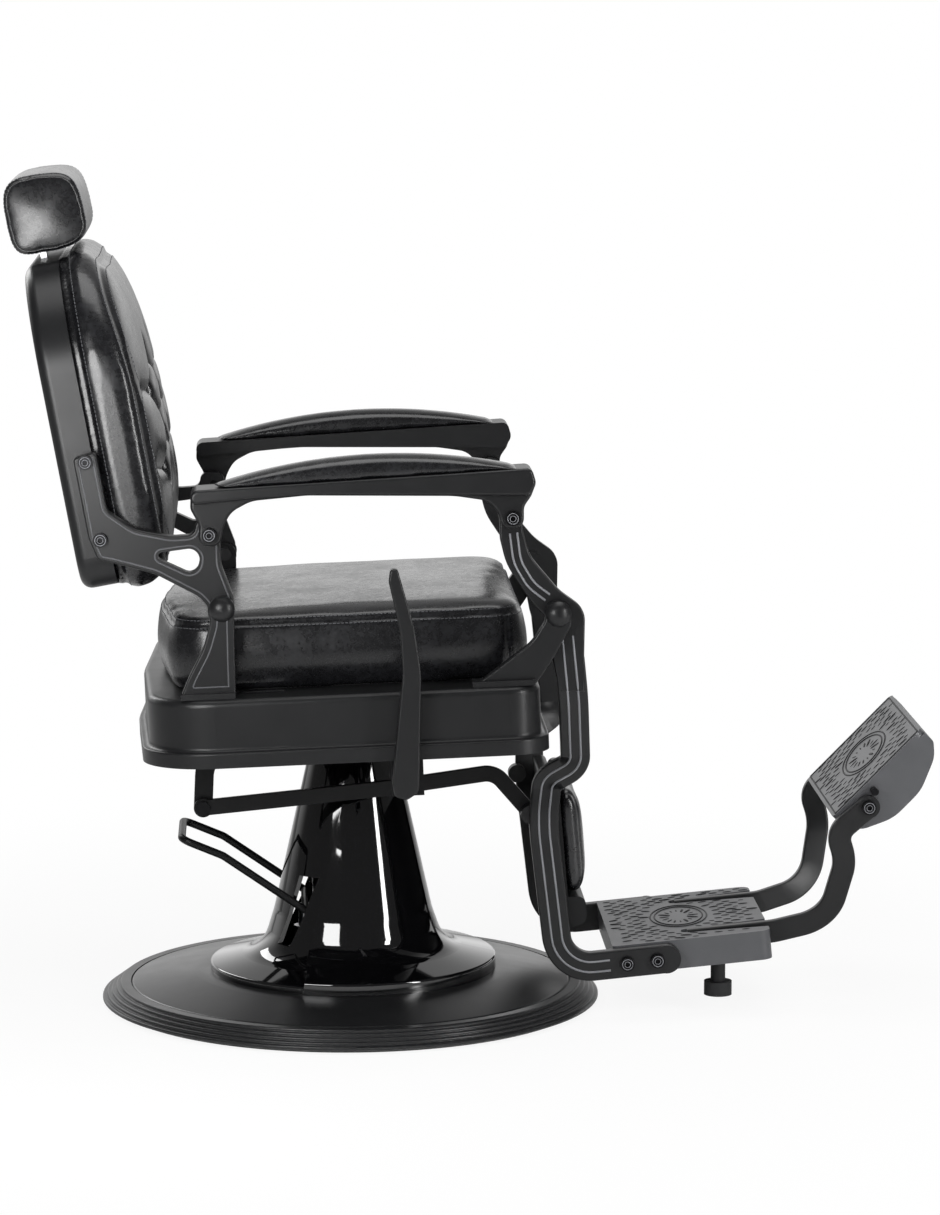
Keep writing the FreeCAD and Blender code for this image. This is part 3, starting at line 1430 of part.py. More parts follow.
def make_foot_arms():
    px, pz = flip_pivot
    root = foot_frame.multVec(V(d.foot_length - d.foot_slot_length + 8, 0, -d.foot_arm_sink))
    mouth = foot_frame.multVec(V(d.foot_length + 8, 0, -d.foot_arm_sink))
    for side_name, side in SIDES.items():
        inner = side * d.foot_arm_offset
        outer = side * flip_arm_middle
        drift = outer - inner
        bar = bent_bar(
            [(root.x, inner, root.z, 0),
             (mouth.x, inner, mouth.z, 60),
             (px - 45, inner + drift * 0.25, pz - 154, 62),
             (px - 28, outer - drift * 0.1, pz - 72, 60),
             (px - 40, outer, pz - 34, 24),
             (px, outer, pz, 0)],
            d.foot_arm_height, d.foot_arm_thickness, d.edge_round,
        )
        half = d.foot_arm_thickness / 2
        eye = cross_rod(px, pz, d.foot_arm_height / 2, outer - half, outer + half)
        hole = cross_rod(px, pz, d.flip_pin_radius + d.running_fit, outer - half - 1, outer + half + 1)
        name = "foot_arm_" + side_name
        keep(name, solid(name, bar.fuse(eye).removeSplitter().cut(hole)))


# Flip plate

def flip_outline(inset):
    """Side view of the case under the flip plate: a bellied pan, open at the top."""
    rear = inset - d.flip_rear
    front = d.flip_front - inset
    belly = d.flip_belly - inset
    under = d.flip_top - d.flip_plate_thickness
    return [
        (rear, under + inset, 0), (rear, under - 12, 10), (rear + 16, -belly * 0.5, 30),
        (front * 0.1, -belly, 60), (front * 0.52, -belly, 60), (front * 0.88, -belly * 0.5, 40),
        (front, -2, 10), (front, under + inset, 0),
    ]


def make_flip_plate():
    half = d.flip_half
    wall = d.flip_wall
    outer = Part.Face(upright_wire(flip_outline(0), -half)).extrude(V(0, half * 2, 0))
    inside = half - wall * 2
    hollow = Part.Face(upright_wire(flip_outline(wall), -inside)).extrude(V(0, inside * 2, 0))
    pans = outer.cut(hollow)
    bosses = []
    for side in SIDES.values():
        bosses.append(cross_rod(0, 0, d.flip_pin_radius * 2, side * half, side * (half - 26)))
    case = solid("flip_case_blank", pans.multiFuse(bosses).removeSplitter())
    case.Placement = flip_frame
    tread_plan = flat_wire(box_points(-d.flip_rear, d.flip_front, -half, half, 12))
    tread_plan.translate(V(0, 0, d.flip_top - d.flip_plate_thickness))
    feature = solid("flip_plate", Part.Face(tread_plan).extrude(V(0, 0, d.flip_plate_thickness)))
    feature.Placement = flip_frame
    keep("flip_plate", feature)

    fittings = []
    screw = socket_screw(d.foot_arm_thickness + d.side_play + 16)
    shank = Part.makeCylinder(d.flip_pin_radius, d.foot_arm_thickness + d.side_play + 16)
    shank.translate(V(0, 0, -d.foot_arm_thickness - d.side_play - 16))
    pin = screw.fuse(shank).removeSplitter()
    stop = Part.makeCylinder(d.flip_stop_radius, 22)
    for side in SIDES.values():
        face = side * (d.flip_half + d.side_play + d.foot_arm_thickness)
        fittings.append(facing(pin, V(flip_pivot[0], face, flip_pivot[1]), V(0, side, 0)))
        spot = flip_frame.multVec(V(d.flip_stop_along, 0, d.flip_stop_height))
        fittings.append(facing(stop, V(spot.x, side * (d.flip_half - 8), spot.z), V(0, side, 0)))
    pins = keep("flip_fittings", solid("flip_fittings", Part.makeCompound(fittings)))
    keep("flip_case", cut("flip_case", case, [pins]))


# Recline lever under the right side of the seat

def make_lever():
    x = d.lever_shaft_x
    z = d.lever_shaft_height
    top = z + d.lever_length
    outline = [
        (x - 18, top, 4), (x - 20, top - 16, 12), (x - 6, top - 78, 120), (x - 3, top - 130, 120),
        (x - 16, z + 4, 12), (x - 13, z - 12, 8), (x + 2, z - 16, 8), (x + 17, z - 6, 12),
        (x + 20, top - 130, 140), (x + 12, top - 74, 120), (x - 9, top, 4),
    ]
    handle = plate("lever_blank", outline, d.lever_inner, "lever_thickness", -1, (), "edge_round")
    keep("recline_lever", handle)
    shaft = cross_rod(x, z, d.lever_shaft_radius, -d.lever_inner, -d.lever_shaft_inner)
    keep("lever_shaft", solid("lever_shaft", shaft))
    passage = cross_rod(x, z, d.lever_shaft_radius + d.side_play, -d.lever_inner, -d.lever_shaft_inner)
    keep("seat_shell", solid("seat_shell_bored", nodes["seat_shell"].Shape.cut(passage)))
    half = d.lever_bracket_width / 2
    plates = []
    for offset in (d.lever_shaft_inner + 4, d.lever_bracket_offset):
        y = -offset - d.lever_bracket_thickness
        low = z - d.rim_height - 20
        hanger = block(x - half, x + half, y, y + d.lever_bracket_thickness, low, -d.shell_wall)
        hanger.Placement = seat_frame
        plates.append(hanger)
    hole = cross_rod(x, z, d.lever_shaft_radius + d.running_fit, 0, -d.lever_inner)
    keep("lever_bracket", solid("lever_bracket", Part.makeCompound([piece.cut(hole) for piece in plates])))


make_base()
make_pump()
make_pedal()
make_covers()
make_seat_carrier()
make_seat_shell()
make_seat_cushion()
make_brackets()
make_pivot_pins()
make_cradle()
make_link()
make_gas_spring()
make_back_arms()
make_back_shell()
make_back_cushion()
make_headrest()
make_armrests()
make_legs()
make_calf()
make_foot_plate()
make_foot_arms()
make_flip_plate()
make_lever()
doc.recompute()

for item in doc.Objects:
    if "Invalid" in item.State or "Error" in item.State:
        raise ValueError(f"{item.Label} did not rebuild: {item.State}")
for name, feature in nodes.items():
    if feature.Shape.isNull() or not feature.Shape.isValid() or not feature.Shape.Solids:
        raise ValueError(f"{name} has no valid solid")

os.makedirs("parts", exist_ok=True)
for name, feature in nodes.items():
    feature.Shape.exportStep(f"parts/{name}.step")
print(len(nodes), "sub-parts written")
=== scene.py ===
import json
import math

import bmesh
import bpy
import numpy
from mathutils import Matrix, Vector, noise
from mathutils.bvhtree import BVHTree


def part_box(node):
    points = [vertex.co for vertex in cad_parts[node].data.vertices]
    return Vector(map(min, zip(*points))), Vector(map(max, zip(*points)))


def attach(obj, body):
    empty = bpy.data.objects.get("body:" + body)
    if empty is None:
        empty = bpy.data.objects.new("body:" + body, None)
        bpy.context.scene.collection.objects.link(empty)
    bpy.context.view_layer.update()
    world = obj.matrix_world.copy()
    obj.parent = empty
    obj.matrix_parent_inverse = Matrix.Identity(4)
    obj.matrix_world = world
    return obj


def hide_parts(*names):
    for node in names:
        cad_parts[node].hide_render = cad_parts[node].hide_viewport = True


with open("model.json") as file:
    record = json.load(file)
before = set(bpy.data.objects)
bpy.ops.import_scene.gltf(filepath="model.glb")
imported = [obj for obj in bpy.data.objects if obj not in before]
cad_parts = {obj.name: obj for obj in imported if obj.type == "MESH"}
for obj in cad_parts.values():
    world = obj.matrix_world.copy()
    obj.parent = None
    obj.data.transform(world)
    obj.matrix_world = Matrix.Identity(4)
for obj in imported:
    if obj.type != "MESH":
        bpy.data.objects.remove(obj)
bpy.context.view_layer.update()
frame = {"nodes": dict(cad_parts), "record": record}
nodes = frame["nodes"]
scene = bpy.context.scene
sides = {"left": 1, "right": -1}
print("frame loaded,", len(nodes), "solids")


def tilted(x, z, degrees):  # frame of a leaning part: x forward, z up
    return Matrix.Translation((x, 0, z)) @ Matrix.Rotation(math.radians(-degrees), 4, "Y")


seatFrame = tilted(0, 0.452, 2.2)
backFrame = tilted(-0.292, 0.581, 10.4)
footFrame = tilted(0.334, 0.095, 5.5)
flipFrame = tilted(0.6615, 0.2765, 45.5)


# camera, floor and lamps

cameraLook = {
    "place": (-0.1146, -5.900, 1.3551),
    "turn": (81.919, 0, -2.636),
    "lens": 135.8,
}


def addCamera(look):
    data = bpy.data.cameras.new("camera")
    data.lens = look["lens"]
    data.sensor_width = 36
    data.clip_end = 60
    camera = bpy.data.objects.new("camera", data)
    camera.location = look["place"]
    camera.rotation_euler = [math.radians(angle) for angle in look["turn"]]
    scene.collection.objects.link(camera)
    scene.camera = camera


lampLook = {
    "overhead": {"place": (0.1, -0.2, 3.0), "aim": (0.1, 0, 0.5), "size": (2.4, 1.6), "watts": 34, "mirrored": True},
    "stripRight": {"place": (1.85, -1.55, 0.95), "aim": (0.1, 0, 0.5), "size": (0.28, 1.5), "watts": 26,
                   "mirrored": True},
    "sheenLeft": {"place": (-0.59, -1.15, 0.80), "aim": (-0.33, -0.25, 0.84), "size": (0.50, 0.5), "watts": 9.5,
                  "mirrored": True},
    "frontFill": {"place": (-0.6, -4.6, 2.9), "aim": (0.1, 0, 0.5), "size": (2.6, 1.8), "watts": 60,
                  "mirrored": False},
    "rimRear": {"place": (-1.5, 2.2, 1.9), "aim": (0.1, 0, 0.5), "size": (0.7, 1.6), "watts": 18, "mirrored": True},
}


def addLamps(look):
    for name, one in look.items():
        data = bpy.data.lights.new(name, "AREA")
        data.shape = "RECTANGLE"
        data.size, data.size_y = one["size"]
        data.energy = one["watts"]
        lamp = bpy.data.objects.new(name, data)
        lamp.location = one["place"]
        lamp.rotation_euler = (Vector(one["aim"]) - lamp.location).to_track_quat("-Z", "Y").to_euler()
        lamp.visible_camera = False
        lamp.visible_glossy = one["mirrored"]
        scene.collection.objects.link(lamp)


class Wire:  # a socket of a node tree, with plain maths
    def __init__(self, tree, socket=None):
        self.tree = tree
        self.socket = socket

    def make(self, kind, settings=None, sockets=None, out=0):
        node = self.tree.nodes.new("ShaderNode" + kind)
        for name, value in (settings or {}).items():
            if name == "stops":
                for index, (place, tone) in enumerate(value):
                    known = index < len(node.color_ramp.elements)
                    stop = node.color_ramp.elements[index] if known else node.color_ramp.elements.new(place)
                    stop.position = place
                    stop.color = (*tone, 1) if isinstance(tone, tuple) else (tone, tone, tone, 1)
            else:
                setattr(node, name, value)
        for name, value in (sockets or {}).items():
            if isinstance(value, Wire):
                self.tree.links.new(value.socket, node.inputs[name])
            else:
                node.inputs[name].default_value = value
        return Wire(self.tree, node.outputs[out])

    def maths(self, operation, first, second=0.0):
        return self.make("Math", {"operation": operation}, {0: first, 1: second})

    def __add__(self, other):
        return self.maths("ADD", self, other)

    def __sub__(self, other):
        return self.maths("SUBTRACT", self, other)

    def __rsub__(self, other):
        return self.maths("SUBTRACT", other, self)

    def __mul__(self, other):
        return self.maths("MULTIPLY", self, other)

    def clamped(self, low, high):
        return self.make("Clamp", None, {"Value": self, "Min": low, "Max": high})

    def ranged(self, low, high, first=0.0, last=1.0, kind="LINEAR"):  # one range laid over another
        sockets = {"Value": self, "From Min": low, "From Max": high, "To Min": first, "To Max": last}
        return self.make("MapRange", {"interpolation_type": kind}, sockets)

    def blended(self, dark, light):  # a colour between two, by this value
        return self.make("Mix", {"data_type": "RGBA"}, {"Factor": self, 6: (*dark, 1), 7: (*light, 1)}, 2)

    __radd__ = __add__
    __rmul__ = __mul__


worldLook = {
    "background": 1.0, "roomLight": 0.11, "backGlow": 1.2,
    "behind": (0.25, 0.85),  # the backdrop that glossy faces mirror
    "low": (0.05, 0.5, 1.0, 0.3),  # fades upwards
    "lifted": (-0.04, 0.12, 0.35, 1.0),  # and under the horizon
}


def addWorld(look):
    world = bpy.data.worlds.new("studio")
    world.use_nodes = True
    scene.world = world
    tree = world.node_tree
    tree.nodes.clear()
    start = Wire(tree)
    seen = start.make("LightPath", out="Is Camera Ray")
    through = start.make("LightPath", out="Is Transmission Ray")
    mirrored = start.make("LightPath", out="Is Glossy Ray")
    way = start.make("TexCoord", out="Generated")
    depth = start.make("SeparateXYZ", None, {0: way}, 1)
    rise = start.make("SeparateXYZ", None, {0: way}, 2)
    behind = depth.ranged(*look["behind"], kind="SMOOTHSTEP")
    low = rise.ranged(*look["low"], kind="SMOOTHSTEP")
    lifted = rise.ranged(*look["lifted"], kind="SMOOTHSTEP")
    shown = (seen + through).clamped(0, 1)
    unseen = look["roomLight"] + mirrored * behind * low * lifted * look["backGlow"]
    strength = shown * look["background"] + (1 - shown) * unseen
    glow = start.make("Background", None, {"Color": (1, 1, 1, 1), "Strength": strength})
    tree.links.new(glow.socket, tree.nodes.new("ShaderNodeOutputWorld").inputs["Surface"])


floorLook = {"half": 9.0, "colour": (0.9, 0.9, 0.9), "whitened": 0.90, "mirrored": 0.10,
             "near": 0.5, "far": 1.5}


def addFloor(look):
    mesh = bpy.data.meshes.new("floor")
    half = look["half"]
    mesh.from_pydata([(-half, -half, 0), (half, -half, 0), (half, half, 0), (-half, half, 0)], [], [(0, 1, 2, 3)])
    floor = bpy.data.objects.new("floor", mesh)
    scene.collection.objects.link(floor)
    material = bpy.data.materials.new("paleFloor")
    material.use_nodes = True
    tree = material.node_tree
    tree.nodes.clear()
    start = Wire(tree)
    seen = start.make("LightPath", out="Is Camera Ray")
    mirrored = start.make("LightPath", out="Is Glossy Ray")
    through = start.make("LightPath", out="Is Transmission Ray")
    lit = start.make("BsdfDiffuse", None, {"Color": (*look["colour"], 1)})
    white = start.make("Emission", None, {"Color": (1, 1, 1, 1), "Strength": 1.0})
    place = start.make("TexCoord", out="Object")
    away = start.make("VectorMath", {"operation": "LENGTH"}, {0: place}, "Value")
    clear = away.ranged(look["near"], look["far"], look["whitened"], 1.0, "SMOOTHSTEP")
    share = (seen + through).clamped(0, 1) * clear + mirrored * look["mirrored"]
    mixed = start.make("MixShader", None, {0: share, 1: lit, 2: white})
    tree.links.new(mixed.socket, tree.nodes.new("ShaderNodeOutputMaterial").inputs["Surface"])
    mesh.materials.append(material)


scene.view_settings.view_transform = "Standard"
addCamera(cameraLook)
addLamps(lampLook)
addWorld(worldLook)
addFloor(floorLook)
print("camera, lamps and floor are set")


# finishes

def finish(name, **constants):  # a material with its shader, and the wire to build on
    material = bpy.data.materials.new(name)
    material.use_nodes = True
    shader = material.node_tree.nodes["Principled BSDF"]
    for socket, value in constants.items():
        shader.inputs[socket.replace("_", " ")].default_value = value
    start = Wire(material.node_tree)
    return material, shader, start


def feed(shader, start, **wires):
    for socket, wire in wires.items():
        start.tree.links.new(wire.socket, shader.inputs[socket.replace("_", " ")])


def grainBump(start, height, strength, distance):
    return start.make("Bump", None, {"Height": height, "Strength": strength, "Distance": distance})


leatherLook = {
    "dark": (0.0045, 0.0045, 0.0052),
    "worn": (0.026, 0.027, 0.031),
    "pebble": 520, "crease": 85, "cloud": 17, "streak": 150.0, "wander": 0.004,
    "crackWidth": 0.07, "cloudRange": (0.40, 0.72), "hazeRange": (0.36, 0.75),
    "shine": 0.55, "coat": 0.12, "coatRough": 0.12, "bump": 0.11, "bumpDepth": 0.0008,
}


def leatherFinish(look):
    material, shader, start = finish("leather", Specular_IOR_Level=look["shine"], Coat_Roughness=look["coatRough"],
                                     Coat_Weight=look["coat"])
    place = start.make("TexCoord", out="Object")
    drift = start.make("TexNoise", None, {"Vector": place, "Scale": look["crease"], "Detail": 2.0}, "Color")
    warped = start.make("VectorMath", {"operation": "MULTIPLY_ADD"}, {0: drift, 1: (look["wander"],) * 3, 2: place})
    pebbles = start.make("TexVoronoi", {"feature": "DISTANCE_TO_EDGE"}, {"Vector": warped, "Scale": look["pebble"]})
    creases = start.make("TexVoronoi", {"feature": "DISTANCE_TO_EDGE"}, {"Vector": warped, "Scale": look["crease"]})
    cloud = start.make("TexNoise", None, {"Vector": place, "Scale": look["cloud"], "Detail": 6.0, "Roughness": 0.68})
    streak = start.make("TexNoise", None, {"Vector": warped, "Scale": look["streak"], "Detail": 3.0, "Roughness": 0.7})
    cracked = creases.ranged(0.0, look["crackWidth"], 1.0, 0.0)
    cloudy = cloud.ranged(*look["cloudRange"])
    hazy = streak.ranged(*look["hazeRange"])
    worn = (cloudy * hazy * 0.45 + cracked * cloudy * 0.10 + hazy * 0.14).clamped(0, 1)
    height = pebbles * 0.5 - cracked * 0.12 + streak * 0.6
    feed(shader, start,
         Base_Color=worn.blended(look["dark"], look["worn"]),
         Roughness=(0.22 + cloudy * 0.08 + hazy * 0.09).clamped(0.12, 0.6),
         Normal=grainBump(start, height, look["bump"], look["bumpDepth"]))
    return material


paintLook = {
    "powderBlack": {"dark": 0.006, "light": 0.011, "rough": 0.35, "shine": 0.36, "grain": 1500, "bump": 0.10},
    "footCast": {"dark": 0.058, "light": 0.092, "rough": 0.38, "shine": 0.50, "grain": 1100, "bump": 0.14},
    # the tread marks' near-black colour is painted shade, standing in for the shade in the tread's grooves
    "treadPaintedShade": {"dark": 0.006, "light": 0.012, "rough": 0.50, "shine": 0.30, "grain": 1100, "bump": 0.10},
    "baseBlack": {"dark": 0.008, "light": 0.015, "rough": 0.30, "shine": 0.50, "grain": 1300, "bump": 0.07},
    "trimBlack": {"dark": 0.008, "light": 0.016, "rough": 0.32, "shine": 0.50, "grain": 700, "bump": 0.06},
    "linkBlack": {"dark": 0.004, "light": 0.007, "rough": 0.40, "shine": 0.22, "grain": 1200, "bump": 0.06},
    "footRubber": {"dark": 0.008, "light": 0.014, "rough": 0.60, "shine": 0.40, "grain": 900, "bump": 0.10},
    "boardBlack": {"dark": 0.004, "light": 0.008, "rough": 0.40, "shine": 0.25, "grain": 600, "bump": 0.10},
    # the next two finishes are painted highlights: light colours on raised beads, standing in for the highlights along
    # the edges of ribs and screw heads
    "paintedHighlight": {"dark": 0.140, "light": 0.240, "rough": 0.34, "shine": 0.50, "grain": 900, "bump": 0.08},
    "paintedDimHighlight": {"dark": 0.060, "light": 0.100, "rough": 0.34, "shine": 0.50, "grain": 900, "bump": 0.08},
    "threadBlack": {"dark": 0.050, "light": 0.120, "rough": 0.50, "shine": 0.50, "grain": 2500, "bump": 0.20},
}


def neutral(value):  # a black with a trace of blue
    return (value, value * 1.02, value * 1.09)


def paintFinish(name, look):
    material, shader, start = finish(name, Specular_IOR_Level=look["shine"])
    place = start.make("TexCoord", out="Object")
    grain = start.make("TexNoise", None, {"Vector": place, "Scale": look["grain"], "Detail": 3.0, "Roughness": 0.6})
    patch = start.make("TexNoise", None, {"Vector": place, "Scale": 22.0, "Detail": 4.0, "Roughness": 0.6})
    tone = (patch * 0.7 + grain * 0.3).clamped(0, 1)
    feed(shader, start,
         Base_Color=tone.blended(neutral(look["dark"]), neutral(look["light"])),
         Roughness=(look["rough"] - 0.06 + patch * 0.12).clamped(0.1, 0.9),
         Normal=grainBump(start, grain, look["bump"], 0.0004))
    return material


glossLook = {
    "shine": 0.75, "coat": 0.4, "coatRough": 0.03, "ripple": 9.0, "dust": 900.0, "dustRange": (0.70, 0.80),
    "clean": (0.0022, 0.0022, 0.0026), "dusty": (0.012, 0.012, 0.013),
}


def glossFinish(look):
    material, shader, start = finish("glossBlack", Specular_IOR_Level=look["shine"], Coat_Weight=look["coat"],
                                     Coat_Roughness=look["coatRough"])
    place = start.make("TexCoord", out="Object")
    ripple = start.make("TexNoise", None, {"Vector": place, "Scale": look["ripple"], "Detail": 1.0})
    dust = start.make("TexNoise", None, {"Vector": place, "Scale": look["dust"], "Detail": 2.0})
    speck = dust.ranged(*look["dustRange"])
    feed(shader, start,
         Base_Color=speck.blended(look["clean"], look["dusty"]),
         Roughness=(0.05 + speck * 0.1).clamped(0.03, 0.3),
         Normal=grainBump(start, ripple, 0.05, 0.004))
    return material


metalLook = {
    "darkBolt": {"dark": (0.014, 0.014, 0.015), "light": (0.022, 0.022, 0.023), "rough": 0.38},
    "machined": {"dark": (0.42, 0.42, 0.43), "light": (0.60, 0.60, 0.61), "rough": 0.30},
}


def metalFinish(name, look):
    material, shader, start = finish(name, Metallic=1.0)
    place = start.make("TexCoord", out="Object")
    brushed = start.make("TexNoise", None, {"Vector": place, "Scale": 420.0, "Detail": 3.0})
    feed(shader, start,
         Base_Color=brushed.blended(look["dark"], look["light"]),
         Roughness=(look["rough"] - 0.05 + brushed * 0.12).clamped(0.05, 0.8),
         Normal=grainBump(start, brushed, 0.05, 0.0003))
    return material


finishes = {name: paintFinish(name, look) for name, look in paintLook.items()}
finishes.update({name: metalFinish(name, look) for name, look in metalLook.items()})
finishes["glossBlack"] = glossFinish(glossLook)
finishes["leather"] = leatherFinish(leatherLook)
slotFinish = {
    "black_cast_iron": "baseBlack", "trim_rubber": "trimBlack", "foot_rubber": "footRubber",
    "machined_steel": "machined", "gloss_cover": "glossBlack", "dark_steel": "linkBlack",
    "black_casting": "powderBlack", "foot_casting": "footCast", "fasteners": "darkBolt",
    "plywood": "boardBlack", "upholstery": "leather",
}
for row in frame["record"]["subparts"]:
    mesh = nodes[row["node"]].data
    mesh.materials.clear()
    mesh.materials.append(finishes[slotFinish[row["material_slot"]]])
for node in ("rear_pivot_pins", "front_pivot_pins"):  # domed caps are coated like the castings
    nodes[node].data.materials[0] = finishes["powderBlack"]
print("finishes made and given to the solids")


# shared makers

mergeDistance = 0.00002  # CAD meshes are loose triangles
frontWays = (Vector((0, 1, 0)), Vector((0, 0, 1)))
sideWays = (Vector((1, 0, 0)), Vector((0, 0, 1)))
levelWays = (Vector((1, 0, 0)), Vector((0, 1, 0)))


def meshFrom(name, work, smooth=False):
    mesh = bpy.data.meshes.new(name)
    work.to_mesh(mesh)
    work.free()
    for polygon in mesh.polygons if smooth else ():
        polygon.use_smooth = True
    return mesh


def merged(*parts):  # one joined copy of CAD meshes
    work = bmesh.new()
    for part in parts:
        work.from_mesh(nodes[part].data)
    bmesh.ops.remove_doubles(work, verts=work.verts, dist=mergeDistance)
    return work


def addPiece(name, mesh, finishName, body):
    piece = bpy.data.objects.new(name, mesh)
    scene.collection.objects.link(piece)
    mesh.materials.clear()
    mesh.materials.append(finishes[finishName])
    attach(piece, body)
    return piece


def evaluated(piece):  # the piece's mesh with its modifiers worked in
    seen = piece.evaluated_get(bpy.context.evaluated_depsgraph_get())
    return bpy.data.meshes.new_from_object(seen)


def workIn(piece):
    mesh = evaluated(piece)
    piece.modifiers.clear()
    piece.data = mesh


def surfaceOf(piece):
    mesh = piece.data
    return BVHTree.FromPolygons([v.co for v in mesh.vertices], [p.vertices for p in mesh.polygons])


def softCopy(name, parts, look):
    return remeshed(name, meshFrom(name, merged(*parts)), look)


def remeshed(name, mesh, look):
    piece = bpy.data.objects.new(name, mesh)
    scene.collection.objects.link(piece)
    remesh = piece.modifiers.new("voxels", "REMESH")
    remesh.mode = "VOXEL"
    remesh.voxel_size = look["voxel"]
    workIn(piece)
    ease = piece.modifiers.new("ease", "SMOOTH")
    ease.factor = 0.5
    ease.iterations = look["ease"]
    workIn(piece)
    return piece


def settled(mesh, values, passes):  # evens a value out over the skin
    ends = numpy.empty(len(mesh.edges) * 2, dtype=numpy.int32)
    mesh.edges.foreach_get("vertices", ends)
    first, second = ends.reshape(-1, 2).T
    total = len(values)
    shared = numpy.bincount(first, minlength=total) + numpy.bincount(second, minlength=total)
    for _ in range(passes):
        near = numpy.bincount(first, values[second], total) + numpy.bincount(second, values[first], total)
        values = (values + near / shared) / 2
    return values


def inflate(piece, look, held):  # cloth under pressure; its swell is capped and evened out
    mesh = piece.data
    places = [v.co.copy() for v in mesh.vertices]
    outwards = [v.normal.copy() for v in mesh.vertices]
    group = piece.vertex_groups.new(name="held")
    group.add([v.index for v in mesh.vertices if held(v.co)], 1.0, "REPLACE")
    cloth = piece.modifiers.new("cloth", "CLOTH")
    cloth.settings.quality = 4
    cloth.settings.mass = 0.3
    cloth.settings.tension_stiffness = look["stiff"]
    cloth.settings.compression_stiffness = look["stiff"]
    cloth.settings.shear_stiffness = look["stiff"]
    cloth.settings.bending_stiffness = look["bend"]
    cloth.settings.use_pressure = True
    cloth.settings.uniform_pressure_force = look["pressure"]
    cloth.settings.vertex_group_mass = "held"
    cloth.settings.effector_weights.gravity = 0
    cloth.collision_settings.use_collision = False
    cloth.point_cache.frame_start = 1
    cloth.point_cache.frame_end = look["frames"]
    for step in range(1, look["frames"] + 1):
        scene.frame_set(step)
    workIn(piece)
    scene.frame_set(1)
    piece.vertex_groups.clear()
    rises = [(v.co - p).dot(n) for v, p, n in zip(piece.data.vertices, places, outwards)]
    swell = settled(piece.data, numpy.clip(rises, -0.002, look["cap"]), look["settle"])
    for vertex, place, outward, rise in zip(piece.data.vertices, places, outwards, swell):
        vertex.co = place + outward * float(rise)
    calm = piece.modifiers.new("calm", "SMOOTH")
    calm.factor = 0.5
    calm.iterations = look["calm"]
    finer = piece.modifiers.new("finer", "SUBSURF")
    finer.levels = finer.render_levels = 1
    workIn(piece)
    for polygon in piece.data.polygons:
        polygon.use_smooth = True


def press(piece, depthAt):  # moves the skin inwards by a depth that the place decides
    mesh = piece.data
    moved = [v.co - v.normal * depthAt(v.co, v.normal) for v in mesh.vertices]
    for vertex, place in zip(mesh.vertices, moved):
        vertex.co = place
    mesh.update()


def keepInside(piece, frameOf, low, high):  # soft limit in a part's own frame
    back = frameOf.inverted()
    for vertex in piece.data.vertices:
        place = back @ vertex.co
        for axis in range(3):
            place[axis] = min(max(place[axis], low[axis]), high[axis])
        vertex.co = frameOf @ place
    piece.data.update()


def dip(distance, depth, width):
    return depth * math.exp(-(distance / width) ** 2)


def segmentDistance(point, start, end):
    line = end - start
    share = max(0.0, min(1.0, (point - start).dot(line) / line.length_squared))
    return (point - start - line * share).length


def ringOn(surface, frameOf, middle, across, count, reach=0.6, lift=0.0):
    # points where rays from outside meet the skin, in one plane of a part's frame
    points = []
    for step in range(count):
        turn = 2 * math.pi * step / count
        way = across[0] * math.cos(turn) + across[1] * math.sin(turn)
        start = frameOf @ (middle + way * reach)
        aim = (frameOf.to_3x3() @ -way).normalized()
        hit, normal, _, _ = surface.ray_cast(start, aim)
        if hit:
            points.append(hit + normal * lift)
    return eased(points)


def eased(points, passes=6):  # a closed line of points, calmed along its run
    for _ in range(passes):
        points = [(points[i - 1] + p * 2 + points[(i + 1) % len(points)]) / 4 for i, p in enumerate(points)]
    return points


def polyline(name, points, closed):
    mesh = bpy.data.meshes.new(name)
    edges = [(i, i + 1) for i in range(len(points) - 1)]
    if closed:
        edges.append((len(points) - 1, 0))
    mesh.from_pydata([tuple(p) for p in points], edges, [])
    return mesh


def newTree(name, inputs):
    tree = bpy.data.node_groups.new(name, "GeometryNodeTree")
    tree.interface.new_socket("Geometry", in_out="INPUT", socket_type="NodeSocketGeometry")
    for label, kind in inputs.items():
        tree.interface.new_socket(label, in_out="INPUT", socket_type="NodeSocket" + kind)
    tree.interface.new_socket("Geometry", in_out="OUTPUT", socket_type="NodeSocketGeometry")
    return tree


class Graph:  # builds a geometry tree node by node
    def __init__(self, name, inputs):
        self.tree = newTree(name, inputs)
        self.given = self.tree.nodes.new("NodeGroupInput")

    def make(self, kind, settings=None, sockets=None, out=0):
        node = self.tree.nodes.new(kind)
        for name, value in (settings or {}).items():
            setattr(node, name, value)
        for name, value in (sockets or {}).items():
            if isinstance(value, bpy.types.NodeSocket):
                self.tree.links.new(value, node.inputs[name])
            else:
                node.inputs[name].default_value = value
        return node.outputs[out] if out is not None else node

    def close(self, geometry, material):
        painted = self.make("GeometryNodeSetMaterial", None, {"Geometry": geometry, "Material": material})
        end = self.tree.nodes.new("NodeGroupOutput")
        self.tree.links.new(painted, end.inputs[0])


def grown(name, mesh, tree, values):  # a plain mesh from a tree on a start mesh
    holder = bpy.data.objects.new(name + "Start", mesh)
    scene.collection.objects.link(holder)
    modifier = holder.modifiers.new("tree", "NODES")
    modifier.node_group = tree
    for item in tree.interface.items_tree:
        if item.in_out == "INPUT" and item.name in values:
            modifier[item.identifier] = values[item.name]
    made = evaluated(holder)
    bpy.data.objects.remove(holder)
    made.name = name
    return made


